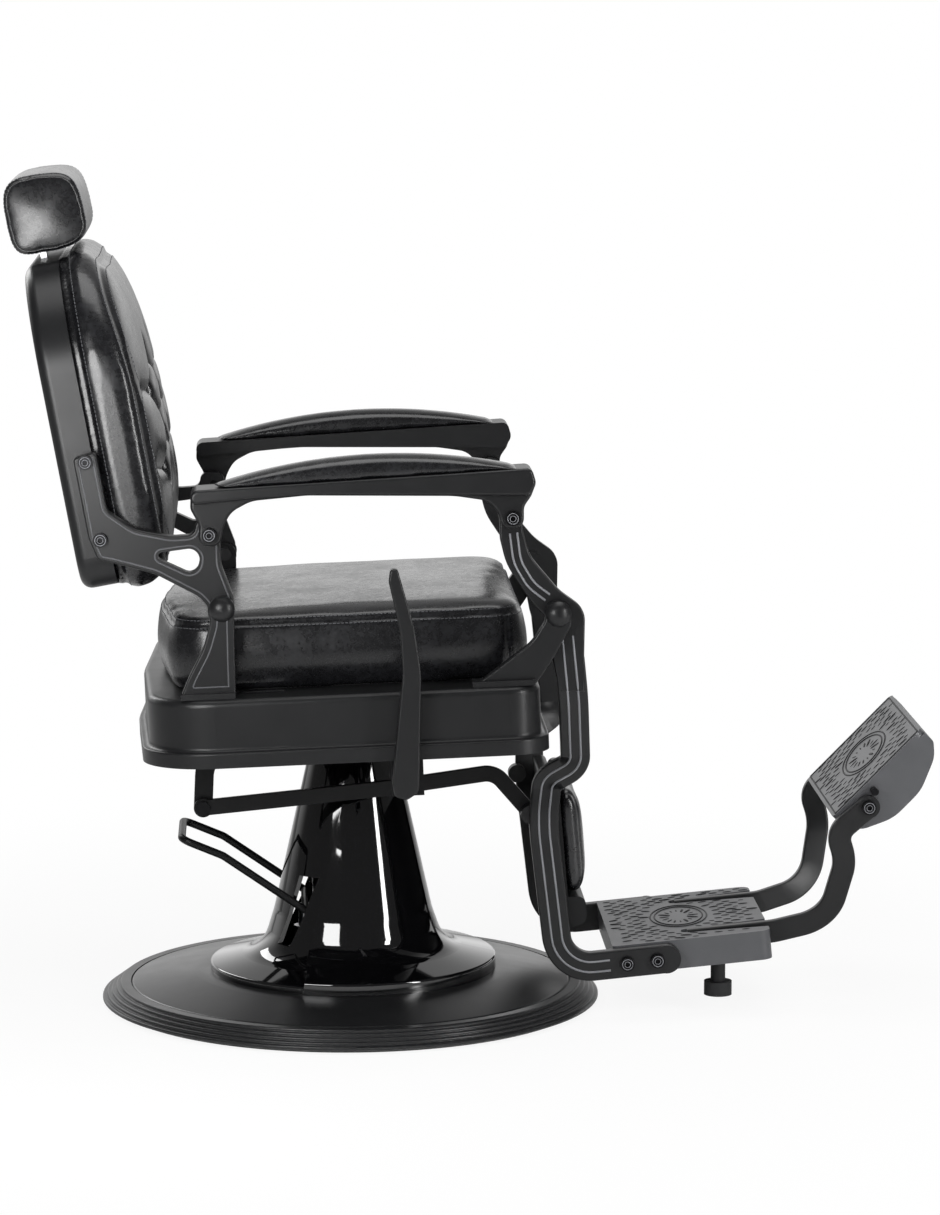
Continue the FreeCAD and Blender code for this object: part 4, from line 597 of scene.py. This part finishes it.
def stitchTree():
    graph = Graph("stitches", {"Pitch": "Float", "Length": "Float", "Radius": "Float", "Thread": "Material"})
    curve = graph.make("GeometryNodeMeshToCurve", None, {0: graph.given.outputs["Geometry"]})
    spots = graph.make("GeometryNodeCurveToPoints", {"mode": "LENGTH"},
                       {"Curve": curve, "Length": graph.given.outputs["Pitch"]}, None)
    stitch = graph.make("GeometryNodeMeshCylinder", None, {
        "Vertices": 6, "Radius": graph.given.outputs["Radius"], "Depth": graph.given.outputs["Length"]})
    laid = graph.make("GeometryNodeInstanceOnPoints", None, {
        "Points": spots.outputs["Points"], "Instance": stitch, "Rotation": spots.outputs["Rotation"]})
    real = graph.make("GeometryNodeRealizeInstances", None, {"Geometry": laid})
    graph.close(real, graph.given.outputs["Thread"])
    return graph.tree


def beadTree():
    graph = Graph("beads", {"Radius": "Float", "Finish": "Material"})
    curve = graph.make("GeometryNodeMeshToCurve", None, {0: graph.given.outputs["Geometry"]})
    ring = graph.make("GeometryNodeCurvePrimitiveCircle", None,
                      {"Resolution": 8, "Radius": graph.given.outputs["Radius"]})
    tube = graph.make("GeometryNodeCurveToMesh", None, {"Curve": curve, "Profile Curve": ring, "Fill Caps": True})
    smooth = graph.make("GeometryNodeSetShadeSmooth", None, {"Geometry": tube})
    real = graph.make("GeometryNodeRealizeInstances", None, {"Geometry": smooth})
    graph.close(real, graph.given.outputs["Finish"])
    return graph.tree


trees = {"stitches": stitchTree(), "beads": beadTree()}
threadLook = {"Pitch": 0.0052, "Length": 0.0036, "Radius": 0.00055}
threadPath = {"steps": 720, "lift": 0.0002}


def addStitches(name, rows, body):
    work = bmesh.new()
    for points in rows:
        line = polyline(name + "Line", points, True)
        mesh = grown(name, line, trees["stitches"], {**threadLook, "Thread": finishes["threadBlack"]})
        work.from_mesh(mesh)
    return addPiece(name, meshFrom(name, work), "threadBlack", body)


def layBead(work, name, points, radius, finishName, closed=True):
    line = polyline(name + "Line", points, closed)
    work.from_mesh(grown(name, line, trees["beads"], {"Radius": radius, "Finish": finishes[finishName]}))


def addBeads(name, lines, radius, finishName, body, closed=False):
    work = bmesh.new()
    for points in lines:
        layBead(work, name, points, radius, finishName, closed)
    bmesh.ops.recalc_face_normals(work, faces=work.faces)
    return addPiece(name, meshFrom(name, work, True), finishName, body)


def dressed(piece, parts, body):
    piece.data.materials.clear()
    piece.data.materials.append(finishes["leather"])
    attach(piece, body)
    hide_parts(*parts)


# seat cushion: boxed, with a doubly stitched seam round its top

seatLook = {
    "voxel": 0.0055, "ease": 5, "stiff": 90, "bend": 12, "pressure": 4.0, "frames": 20,
    "cap": 0.0035, "settle": 14, "calm": 3, "seam": 0.084, "seamDepth": 0.0022, "seamWidth": 0.0036,
    "rowGap": 0.0046, "cornerSeam": 0.196, "cornerDepth": 0.002, "cornerWidth": 0.003, "middle": -0.012,
    "heldBelow": 0.010, "rise": 0.0115, "shoulder": 0.022, "dome": 0.003, "half": 0.235,
    "rearFall": 0.009, "rearReach": 0.25,
}


def crowned(piece, look, rim):  # a level top with a round shoulder inside a rim
    back = seatFrame.inverted()
    line = numpy.array([(back @ p).to_2d() for p in rim])
    for vertex in piece.data.vertices:
        local = back @ vertex.co
        if local.z > look["seam"]:
            inset = numpy.hypot(*(line - numpy.array(local.to_2d())).T).min()
            share = 1 - min(1.0, inset / look["shoulder"])
            level = [max(0.0, 1 - (local[axis] / look["half"]) ** 2) for axis in range(2)]
            domed = look["dome"] * level[0] * level[1]
            fall = look["rearFall"] * (min(0.0, local.x) / look["rearReach"]) ** 2 * (1 - share)
            local.z = look["seam"] + look["rise"] * math.sqrt(1 - share * share) + domed - fall
            vertex.co = seatFrame @ local
    piece.data.update()


def makeSeatCushion(look):
    piece = softCopy("seatCushion", ["seat_cushion", "seat_board"], look)
    back = seatFrame.inverted()
    rimCentre = Vector((look["middle"], 0, look["seam"]))
    crowned(piece, look, ringOn(surfaceOf(piece), seatFrame, rimCentre, levelWays, threadPath["steps"]))
    inflate(piece, look, lambda p: (back @ p).z < look["heldBelow"])

    def seam(place, normal):
        local = back @ place
        upright = max(0.0, 1 - abs((back.to_3x3() @ normal).z) ** 2)
        depth = dip(local.z - look["seam"], look["seamDepth"], look["seamWidth"]) * min(1, upright * 1.6)
        if local.z < look["seam"] and local.x > 0:
            corner = dip(abs(local.x - look["cornerSeam"]), look["cornerDepth"], look["cornerWidth"])
            depth += corner * min(1.0, abs(normal.y) * 1.5)
        return depth

    press(piece, seam)
    dressed(piece, ["seat_cushion"], "seat")
    surface = surfaceOf(piece)
    rows = []
    for gap in (-look["rowGap"], look["rowGap"]):
        middle = Vector((look["middle"], 0, look["seam"] + gap))
        rows.append(ringOn(surface, seatFrame, middle, levelWays, threadPath["steps"], lift=threadPath["lift"]))
    addStitches("seatStitches", rows, "seat")


makeSeatCushion(seatLook)
print("seat cushion done")


# back cushion: boxing between two seams, then a diamond-tufted front

backLook = {
    "voxel": 0.0055, "ease": 4, "stiff": 80, "bend": 10, "pressure": 4.0, "frames": 20,
    "cap": 0.007, "settle": 12, "calm": 3, "heldBelow": 0.008, "low": (-0.010, -0.2540, -0.013),
    "high": (0.089, 0.2540, 0.417), "seamDepth": 0.0026, "seamWidth": 0.0036, "rowGap": 0.0046,
    "seamForward": 0.0685, "seamBack": 0.019, "seamTurn": 0.23, "seamRun": 0.18,
    "rearSeam": 0.0100, "rearShare": 0.6, "rearRow": 0.004, "sink": 0.009, "sinkReach": 0.007, "grow": 0.0045,
    "rows": 4, "bottom": 0.120, "pitch": 0.050, "spacing": 0.062, "foldDepth": 0.010, "foldWidth": 0.0115,
    "pitDepth": 0.010, "pitWidth": 0.014, "border": 0.205, "button": 0.0085, "buttonFlat": 0.45,
    "sideRise": 0.012, "topFan": 1.15, "topEnd": 0.372, "bottomFan": 1.05, "bottomEnd": 0.045,
    "faceFrom": 0.045, "faceLean": 0.35, "middle": 0.19, "rayDepth": 0.062, "rayReach": 0.6, "tries": 3,
}


def frontSeam(look, up):  # how far forward the front seam of the boxing lies at a height
    share = max(0.0, min(1.0, (up - look["seamTurn"]) / look["seamRun"]))
    return look["seamForward"] - look["seamBack"] * share * share * (3 - 2 * share)


def tuftPlaces(look):
    places = []
    for row in range(look["rows"]):
        for place in ((-1, 1) if row % 2 else (-2, 0, 2)):
            places.append(Vector((place * look["spacing"], look["bottom"] + look["pitch"] * row)))
    return places


def tuftFolds(look):
    pits = tuftPlaces(look)
    reach = math.hypot(look["spacing"], look["pitch"]) * 1.05
    folds = [(a, b) for a in pits for b in pits if a.y < b.y and (a - b).length < reach]
    top = look["bottom"] + look["pitch"] * (look["rows"] - 1)
    for pit in pits:
        if abs(pit.x) > look["spacing"] * 1.5 or (abs(pit.x) > look["spacing"] * 0.5 and pit.y == top):
            folds.append((pit, Vector((math.copysign(look["border"], pit.x), pit.y + look["sideRise"]))))
        if pit.y == top:
            folds.append((pit, Vector((pit.x * look["topFan"], look["topEnd"]))))
        if pit.y == look["bottom"]:
            folds.append((pit, Vector((pit.x * look["bottomFan"], look["bottomEnd"]))))
    return folds


def frontSeamRow(look, surface, gap):  # stitches beside the front seam, whose depth follows the height
    back = backFrame.inverted()
    points = []
    for step in range(threadPath["steps"]):
        turn = 2 * math.pi * step / threadPath["steps"]
        way = frontWays[0] * math.cos(turn) + frontWays[1] * math.sin(turn)
        aim = (backFrame.to_3x3() @ -way).normalized()
        depth = look["rayDepth"]
        hit = None
        for attempt in range(look["tries"]):
            start = backFrame @ (Vector((depth, 0, look["middle"])) + way * look["rayReach"])
            found, normal, _, _ = surface.ray_cast(start, aim)
            if not found:
                break
            hit = found + normal * threadPath["lift"]
            depth = frontSeam(look, (back @ found).z) + gap
        if hit:
            points.append(hit)
    return eased(points)


def addButtons(look, surface, pits):
    turned = backFrame.to_3x3()
    work = bmesh.new()
    for pit in pits:
        ahead = backFrame @ Vector((0.2, pit.x, pit.y))
        hit, _, _, _ = surface.ray_cast(ahead, turned @ Vector((-1, 0, 0)))
        place = Matrix.Translation(hit) @ turned.to_4x4() @ Matrix.Diagonal((look["buttonFlat"], 1, 1, 1))
        bmesh.ops.create_uvsphere(work, u_segments=20, v_segments=12, radius=look["button"], matrix=place)
    addPiece("backButtons", meshFrom("backButtons", work, True), "leather", "back")


def makeBackCushion(look):
    piece = softCopy("backCushion", ["back_cushion"], look)
    back = backFrame.inverted()
    turned = back.to_3x3()
    inflate(piece, look, lambda p: (back @ p).x < look["heldBelow"])
    for vertex in piece.data.vertices:  # the rear edge is tucked into the shell
        local = back @ vertex.co
        local.x -= look["sink"] * max(0.0, 1 - max(0.0, local.x) / look["sinkReach"])
        vertex.co = backFrame @ local
    piece.data.update()
    pits = tuftPlaces(look)
    folds = tuftFolds(look)

    def tufted(place, normal):
        local = back @ place
        ahead = max(0.0, (turned @ normal).x)
        depth = dip(local.x - frontSeam(look, local.z), look["seamDepth"], look["seamWidth"])
        depth *= 1.0 if ahead < 0.9 else 0.2
        depth += dip(local.x - look["rearSeam"], look["seamDepth"] * look["rearShare"], look["seamWidth"])
        sideways = 1 - abs((turned @ normal).x)
        depth -= look["grow"] * sideways
        if ahead > look["faceLean"] and local.x > look["faceFrom"]:
            flat = Vector((local.y, local.z))
            near = min(segmentDistance(flat, a, b) for a, b in folds)
            depth += look["foldDepth"] * math.exp(-near / look["foldWidth"]) * min(1, ahead * 1.3)
            deep = min((flat - pit).length for pit in pits)
            depth += dip(deep, look["pitDepth"], look["pitWidth"])
        return depth

    press(piece, tufted)
    keepInside(piece, backFrame, look["low"], look["high"])
    dressed(piece, ["back_cushion"], "back")
    surface = surfaceOf(piece)
    rows = [frontSeamRow(look, surface, gap) for gap in (-look["rowGap"], look["rowGap"])]
    rear = Vector((look["rearSeam"] + look["rearRow"], 0, look["middle"]))
    rows.append(ringOn(surface, backFrame, rear, frontWays, threadPath["steps"], lift=threadPath["lift"]))
    addStitches("backStitches", rows, "back")
    addButtons(look, surface, pits)


makeBackCushion(backLook)
print("back cushion done")


# headrest: a box pillow with corded end panels

headLook = {
    "voxel": 0.0042, "ease": 4, "stiff": 60, "bend": 8, "pressure": 3.5, "frames": 16,
    "cap": 0.003, "settle": 10, "calm": 2, "panel": 0.1185, "seamDepth": 0.0018, "seamWidth": 0.0028,
    "rowGap": 0.0050, "cord": 0.0014, "around": 180, "rounding": 60, "belly": 0.025, "dome": 0.0060, "steps": 12,
    "endShares": (0.03, 0.1, 0.2, 0.35, 0.5, 0.65, 0.8, 0.93), "middle": (-0.008, 0, 0.460),
    "held": (-0.030, 0.43), "reach": 0.2, "seamSteps": 300, "cordLift": 0.0004,
}


def pillowMesh(look, outline, centre):  # one outline carried across, with domed end panels
    rings = []
    for step in range(-look["steps"], look["steps"] + 1):
        across = step / look["steps"]
        rings.append((across * look["panel"], 1 - look["belly"] * across * across))
    ends = [(look["panel"] + look["dome"] * math.sin(math.pi / 2 * share), (1 - look["belly"]) * (1 - share))
            for share in look["endShares"]]
    rings = [(-y, scale) for y, scale in reversed(ends)] + rings + ends
    work = bmesh.new()
    loops = [[work.verts.new(backFrame @ (centre + Vector((x * scale, y, z * scale)))) for x, z in outline]
             for y, scale in rings]
    count = len(outline)
    for first, second in zip(loops, loops[1:]):
        for i in range(count):
            work.faces.new((first[i], first[(i + 1) % count], second[(i + 1) % count], second[i]))
    work.faces.new(loops[0])
    work.faces.new(loops[-1])
    bmesh.ops.recalc_face_normals(work, faces=work.faces)
    return meshFrom("headrestPillow", work)


def makeHeadrest(look):
    back = backFrame.inverted()
    middle = Vector(look["middle"])
    ring = ringOn(surfaceOf(nodes["headrest_cushion"]), backFrame, middle, sideWays, look["around"], look["reach"])
    sharp = numpy.array([(back @ p) - middle for p in ring])[:, (0, 2)]
    soft = numpy.array([(back @ p) - middle for p in eased(ring, look["rounding"])])[:, (0, 2)]
    centre = soft.mean(axis=0)
    outline = (soft - centre) * (numpy.ptp(sharp, axis=0) / numpy.ptp(soft, axis=0)) + centre
    piece = remeshed("headrestCushion", pillowMesh(look, outline, middle), look)
    inflate(piece, look, lambda p: (back @ p).x < look["held"][0] and (back @ p).z < look["held"][1])

    def seams(place, normal):
        local = back @ place
        return dip(abs(local.y) - look["panel"], look["seamDepth"], look["seamWidth"]) * (1 - abs(normal.y) ** 2)

    press(piece, seams)
    dressed(piece, ["headrest_cushion"], "headrest")
    surface = surfaceOf(piece)
    rows = []
    cords = []
    for side in sides.values():
        spot = Vector((middle.x, side * (look["panel"] - look["rowGap"]), middle.z))
        rows.append(ringOn(surface, backFrame, spot, sideWays, look["seamSteps"], look["reach"], threadPath["lift"]))
        spot = Vector((middle.x, side * look["panel"], middle.z))
        cords.append(ringOn(surface, backFrame, spot, sideWays, look["seamSteps"], look["reach"], look["cordLift"]))
    addStitches("headrestStitches", rows, "headrest")
    addBeads("headrestCords", cords, look["cord"], "leather", "headrest", True)


makeHeadrest(headLook)
print("headrest done")


# armrest pads and calf pad

padLook = {"voxel": 0.004, "ease": 6, "stiff": 40, "bend": 6, "pressure": 3.0, "frames": 12,
           "cap": 0.004, "settle": 8, "calm": 2, "held": 0.003, "room": (0.002, 0.001, 0.004)}
calfLook = {"voxel": 0.0045, "ease": 6, "stiff": 40, "bend": 6, "pressure": 3.5, "frames": 14,
            "cap": 0.006, "settle": 8, "calm": 2, "held": 0.006, "seam": 0.0022, "seamWidth": 0.0035,
            "sideSeam": 0.126}


def makeArmPads(look):
    for side in sides:
        node = "armrest_pad_" + side
        low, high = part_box(node)
        piece = softCopy("armPad" + side.capitalize(), [node], look)
        base = surfaceOf(nodes["armrest_frame_" + side])
        inflate(piece, look, lambda p: (base.find_nearest(p)[3] or 1) < look["held"])
        wide, deep, tall = look["room"]
        keepInside(piece, Matrix.Identity(4), low - Vector((wide, deep, 0)), high + Vector((wide, deep, tall)))
        dressed(piece, [node], "armrest_" + side)


def makeCalfPad(look):
    piece = softCopy("calfPad", ["calf_pad"], look)
    board = surfaceOf(nodes["calf_board"])
    inflate(piece, look, lambda p: (board.find_nearest(p)[3] or 1) < look["held"])
    press(piece, lambda p, n: dip(abs(p.y) - look["sideSeam"], look["seam"], look["seamWidth"]) * (1 - abs(n.y)))
    dressed(piece, ["calf_pad"], "legrest")


makeArmPads(padLook)
makeCalfPad(calfLook)
print("pads done")


# raised lines on the castings, coloured light as painted highlights along their edges

def roundedRoute(points, steps=10):  # points (x, y, z, bend) with each bend as an arc
    places = [Vector(p[:3]) for p in points]
    line = [places[0]]
    for index in range(1, len(points) - 1):
        corner = places[index]
        back = (places[index - 1] - corner).normalized()
        ahead = (places[index + 1] - corner).normalized()
        half = back.angle(ahead) / 2
        reach = points[index][3] / math.tan(half)
        centre = corner + (back + ahead).normalized() * (points[index][3] / math.sin(half))
        start = corner + back * reach - centre
        end = corner + ahead * reach - centre
        for step in range(steps + 1):
            line.append(centre + arcPoint(start, end, step / steps))
    line.append(places[-1])
    return line


def arcPoint(start, end, share):
    angle = start.angle(end)
    if angle < 0.0001:
        return start.lerp(end, share)
    return (start * math.sin((1 - share) * angle) + end * math.sin(share * angle)) / math.sin(angle)


def besideLine(middle, shift):  # a line moved sideways in its upright plane
    points = []
    for index, place in enumerate(middle):
        ahead = middle[min(index + 1, len(middle) - 1)] - middle[max(index - 1, 0)]
        points.append(place + Vector((ahead.z, 0, -ahead.x)).normalized() * shift)
    return points


legLook = {
    "pivot": (0.254, 0.548), "upper": 0.26325, "lower": 0.14925, "half": 0.00825, "offset": 0.0066, "radius": 0.0014,
    "heel": -0.070, "toe": -0.006, "drop": -0.0205, "heelBend": 0.044,
    # from the pivot: forward, share of the inward step, up, bend
    "route": [(0.012, 0, -0.030, 0), (0.020, 0, -0.108, 0.090), (0.027, 0.5, -0.203, 0.030),
              (-0.008, 0.64, -0.226, 0.030), (-0.011, 1, -0.286, 0.090)],
    "horn": [(0.1985, 0.648, 0), (0.203, 0.612, 0.05), (0.220, 0.583, 0.05), (0.241, 0.567, 0)],
    "hornLevel": 0.2715, "hornShare": 0.7,
}


def legLines(look, side):
    pivotX, pivotZ = look["pivot"]
    upper = side * look["upper"]
    lower = side * look["lower"]
    heel = footFrame @ Vector((look["heel"], 0, look["drop"]))
    toe = footFrame @ Vector((look["toe"], 0, look["drop"]))
    route = [(pivotX + x, upper + (lower - upper) * share, pivotZ + z, bend) for x, share, z, bend in look["route"]]
    route += [(heel.x, lower, heel.z, look["heelBend"]), (toe.x, lower, toe.z, 0)]
    face = Vector((0, side * look["half"], 0))
    middle = [place + face for place in roundedRoute(route)]
    horn = roundedRoute([(x, side * look["hornLevel"], z, bend) for x, z, bend in look["horn"]])
    lines = []
    for line, offset in ((middle, look["offset"]), (horn, look["offset"] * look["hornShare"])):
        lines += [besideLine(line, -offset), besideLine(line, offset)]
    return lines


# the leg beads are coloured light as a painted highlight along the leg's ribs
for side, way in sides.items():
    addBeads("legBeads" + side.capitalize(), legLines(legLook, way), legLook["radius"], "paintedHighlight", "legrest")
print("leg beads done")


def faceLoops(node, level, tolerance=0.0003):  # outlines of a flat side face at one y
    work = merged(node)
    flat = [f for f in work.faces if all(abs(v.co.y - level) < tolerance for v in f.verts)]
    chosen = set(flat)
    edges = {}
    for face in flat:
        for loop in face.loops:
            if sum(1 for f in loop.edge.link_faces if f in chosen) == 1:
                edges[loop.vert] = loop.link_loop_next.vert
    loops = []
    while edges:
        start, here = edges.popitem()
        points = [start.co.copy()]
        while here is not start and here in edges:
            points.append(here.co.copy())
            here = edges.pop(here)
        loops.append(points)
    work.free()
    return loops


def resampled(points, pitch):
    total = []
    for index, place in enumerate(points):
        following = points[(index + 1) % len(points)]
        count = max(1, int((following - place).length / pitch))
        total += [place.lerp(following, step / count) for step in range(count)]
    return total


def insetLoop(points, inset, way):  # a closed loop drawn inwards, to the left of its run
    moved = []
    for index, place in enumerate(points):
        ahead = points[(index + 1) % len(points)] - points[index - 1]
        inwards = Vector((ahead.z, 0, -ahead.x)).normalized() * way
        spot = place + inwards * inset
        if min((spot - other).length for other in points) > inset * 0.96:
            moved.append(spot)
    return moved


# the panel beads are coloured light as a painted highlight along the panel edges of the back arms and rear brackets
panelLook = {
    "back_arm": {"body": "back", "level": 0.2715, "inset": 0.0040, "radius": 0.0011},
    "rear_bracket": {"body": "seat", "level": 0.288, "inset": 0.0075, "radius": 0.0010},
}
loopLook = {"leastLength": 0.07, "pitch": 0.003, "leastPoints": 12}


def addPanelBeads(look):
    for part, one in look.items():
        for side, way in sides.items():
            lines = []
            for loop in faceLoops(part + "_" + side, way * one["level"]):
                length = sum((a - b).length for a, b in zip(loop, loop[1:]))
                if length < loopLook["leastLength"]:
                    continue
                inner = insetLoop(resampled(loop, loopLook["pitch"]), one["inset"], way)
                if len(inner) > loopLook["leastPoints"]:
                    lines.append(inner)
            if lines:
                addBeads(part.replace("_", "") + "Beads" + side.capitalize(), lines, one["radius"], "paintedDimHighlight",
                         one["body"], True)


addPanelBeads(panelLook)
print("panel beads done")


# painted highlight rings on the screw heads

screwLook = {
    "bodies": {"back_arm_screws": "back", "armrest_screws_left": "armrest_left",
               "armrest_screws_right": "armrest_right", "foot_screws": "legrest", "flip_fittings": "flip"},
    "rings": ((0.0066, 0.0005), (0.0036, 0.0004)), "leastPoints": 100, "steps": 36,
}


def looseParts(node):  # the places of each loose part of a solid
    work = merged(node)
    known = set()
    parts = []
    for first in work.verts:
        if first in known:
            continue
        known.add(first)
        part = [first]
        for vertex in part:
            for edge in vertex.link_edges:
                other = edge.other_vert(vertex)
                if other not in known:
                    known.add(other)
                    part.append(other)
        parts.append([vertex.co.copy() for vertex in part])
    work.free()
    return parts


def addScrewRings(look):
    angles = [2 * math.pi * step / look["steps"] for step in range(look["steps"])]
    for node, body in look["bodies"].items():
        name = node.replace("_", "") + "Rings"
        work = bmesh.new()
        for part in looseParts(node):
            if len(part) < look["leastPoints"]:  # a plain pin
                continue
            head = max(part, key=lambda p: abs(p.y)).y
            middle = [(min(p[axis] for p in part) + max(p[axis] for p in part)) / 2 for axis in range(3)]
            centre = Vector((middle[0], head, middle[2]))
            # each ring is a light bead that paints the highlight on a screw head's edge
            for radius, tube in look["rings"]:
                points = [centre + Vector((math.cos(a), 0, math.sin(a))) * radius for a in angles]
                layBead(work, name, points, tube, "paintedHighlight")
        bmesh.ops.recalc_face_normals(work, faces=work.faces)
        addPiece(name, meshFrom(name, work, True), "paintedHighlight", body)


addScrewRings(screwLook)
print("screw rings done")


# tread marks on the two foot plates, coloured near black as painted shade for their grooves

treadLook = {
    "footTread": {"frame": footFrame, "body": "legrest", "low": (0.012, -0.131), "high": (0.196, 0.131), "top": 0.0,
                  "centre": (0.098, 0.0), "wide": 1.75, "slots": True},
    "flipTread": {"frame": flipFrame, "body": "flip", "low": (-0.032, -0.130), "high": (0.108, 0.130), "top": 0.021,
                  "centre": (0.040, 0.0), "wide": 1.9, "slots": False},
}
slotLook = {"from": 0.086, "place": 0.092, "half": 0.0085, "taperFrom": 0.093, "taperRun": 0.117, "taper": 0.0145,
            "room": 0.004}
markLook = {
    "ring": 0.037, "innerRing": 0.0315, "ringRoom": 0.008, "ringSteps": 96, "tube": 0.0011,
    "pitchX": 0.0185, "pitchY": 0.0115, "border": 0.0045, "borderPitch": 0.004,
    "jitter": (0.0035, 0.0022), "jitterScale": 90, "jitterLayers": (1.5, 7.5),
    "flow": 0.5, "flowScale": 16, "flowLayer": 3.0, "bend": 0.35, "bendReach": 0.03,
    "mark": {"Length": 0.0068, "Width": 0.0017, "Height": 0.0010, "Least": 0.55, "Most": 1.25, "Seed": 4},
    "flutes": 16, "fluteRing": 0.019, "flute": {"Length": 0.0085, "Width": 0.0018, "Seed": 9},
}


def treadTree():
    graph = Graph("treadMarks", {"Length": "Float", "Width": "Float", "Height": "Float", "Least": "Float",
                                 "Most": "Float", "Seed": "Int", "Finish": "Material"})
    points = graph.make("GeometryNodeMeshToPoints", None, {"Mesh": graph.given.outputs["Geometry"]})
    mark = graph.make("GeometryNodeMeshIcoSphere", None, {"Radius": 1.0, "Subdivisions": 2})
    size = graph.make("ShaderNodeCombineXYZ", None, {
        "X": graph.given.outputs["Length"], "Y": graph.given.outputs["Width"], "Z": graph.given.outputs["Height"]})
    vary = graph.make("FunctionNodeRandomValue", {"data_type": "FLOAT"}, {
        2: graph.given.outputs["Least"], 3: graph.given.outputs["Most"], "Seed": graph.given.outputs["Seed"]}, 1)
    scaled = graph.make("ShaderNodeVectorMath", {"operation": "MULTIPLY"}, {0: size, 1: vary})
    spin = graph.make("GeometryNodeInputNamedAttribute", {"data_type": "FLOAT"}, {"Name": "turn"})
    turn = graph.make("ShaderNodeCombineXYZ", None, {"Z": spin})
    laid = graph.make("GeometryNodeInstanceOnPoints", None,
                      {"Points": points, "Instance": mark, "Rotation": turn, "Scale": scaled})
    real = graph.make("GeometryNodeRealizeInstances", None, {"Geometry": laid})
    smooth = graph.make("GeometryNodeSetShadeSmooth", None, {"Geometry": real})
    graph.close(smooth, graph.given.outputs["Finish"])
    return graph.tree


def treadSpots(look, mark):
    spots = []
    (lowX, lowY), (highX, highY) = look["low"], look["high"]
    rows = int((highY - lowY) / mark["pitchY"])
    columns = int((highX - lowX) / mark["pitchX"])
    centre = Vector(look["centre"])
    for row in range(rows + 1):
        for column in range(columns + 1):
            x = lowX + (highX - lowX) * (column + 0.5 * (row % 2)) / (columns + 0.5)
            y = lowY + (highY - lowY) * row / rows
            scale = mark["jitterScale"]
            x += mark["jitter"][0] * noise.noise(Vector((x * scale, y * scale, mark["jitterLayers"][0])))
            y += mark["jitter"][1] * noise.noise(Vector((x * scale, y * scale, mark["jitterLayers"][1])))
            away = Vector((x - centre.x, (y - centre.y) / look["wide"]))
            if away.length < mark["ring"] + mark["ringRoom"] or not (lowX < x < highX and lowY < y < highY):
                continue
            if look["slots"] and inSlot(slotLook, x, y):
                continue
            bend = math.atan2(away.y, away.x) * dip(away.length - mark["ring"], 1.0, mark["bendReach"])
            flow = noise.noise(Vector((x * mark["flowScale"], y * mark["flowScale"], mark["flowLayer"])))
            spots.append((x, y, mark["flow"] * flow + mark["bend"] * math.sin(bend * 2)))
    return spots


def inSlot(look, x, y):  # the tapered slots that the foot arms lie in
    half = look["half"] + max(0, x - look["taperFrom"]) / look["taperRun"] * look["taper"]
    return x > look["from"] and abs(abs(y) - look["place"]) < half + look["room"]


def spotMesh(name, spots):  # points (x, y, turn) as a mesh
    mesh = bpy.data.meshes.new(name)
    mesh.from_pydata([(x, y, 0) for x, y, turn in spots], [], [])
    turns = mesh.attributes.new("turn", "FLOAT", "POINT")
    for index, (x, y, turn) in enumerate(spots):
        turns.data[index].value = turn
    return mesh


def makeTread(name, look, mark, tree):
    values = {**mark["mark"], "Finish": finishes["treadPaintedShade"]}
    centre = Vector((*look["centre"], 0))

    def oval(angle, radius):
        return centre + Vector((math.cos(angle), math.sin(angle) * look["wide"], 0)) * radius

    work = bmesh.new()
    work.from_mesh(grown(name, spotMesh(name + "Spots", treadSpots(look, mark)), tree, values))
    around = [2 * math.pi * step / mark["ringSteps"] for step in range(mark["ringSteps"])]
    loops = [[oval(angle, radius) for angle in around] for radius in (mark["ring"], mark["innerRing"])]
    if not look["slots"]:
        lowX, lowY = (value - mark["border"] for value in look["low"])
        highX, highY = (value + mark["border"] for value in look["high"])
        corners = [(lowX, lowY), (highX, lowY), (highX, highY), (lowX, highY)]
        loops.append(resampled([Vector((x, y, 0)) for x, y in corners], mark["borderPitch"]))
    for points in loops:
        layBead(work, name, points, mark["tube"], "treadPaintedShade")
    flutes = []
    for step in range(mark["flutes"]):
        angle = 2 * math.pi * step / mark["flutes"]
        spot = oval(angle, mark["fluteRing"])
        flutes.append((spot.x, spot.y, math.atan2(math.sin(angle) * look["wide"], math.cos(angle))))
    work.from_mesh(grown(name, spotMesh(name + "Flutes", flutes), tree, {**values, **mark["flute"]}))
    bmesh.ops.recalc_face_normals(work, faces=work.faces)
    whole = meshFrom(name, work, True)
    whole.transform(look["frame"] @ Matrix.Translation((0, 0, look["top"])))
    addPiece(name, whole, "treadPaintedShade", look["body"])


trees["treadMarks"] = treadTree()
for name, look in treadLook.items():
    makeTread(name, look, markLook, trees["treadMarks"])
print("tread marks done")
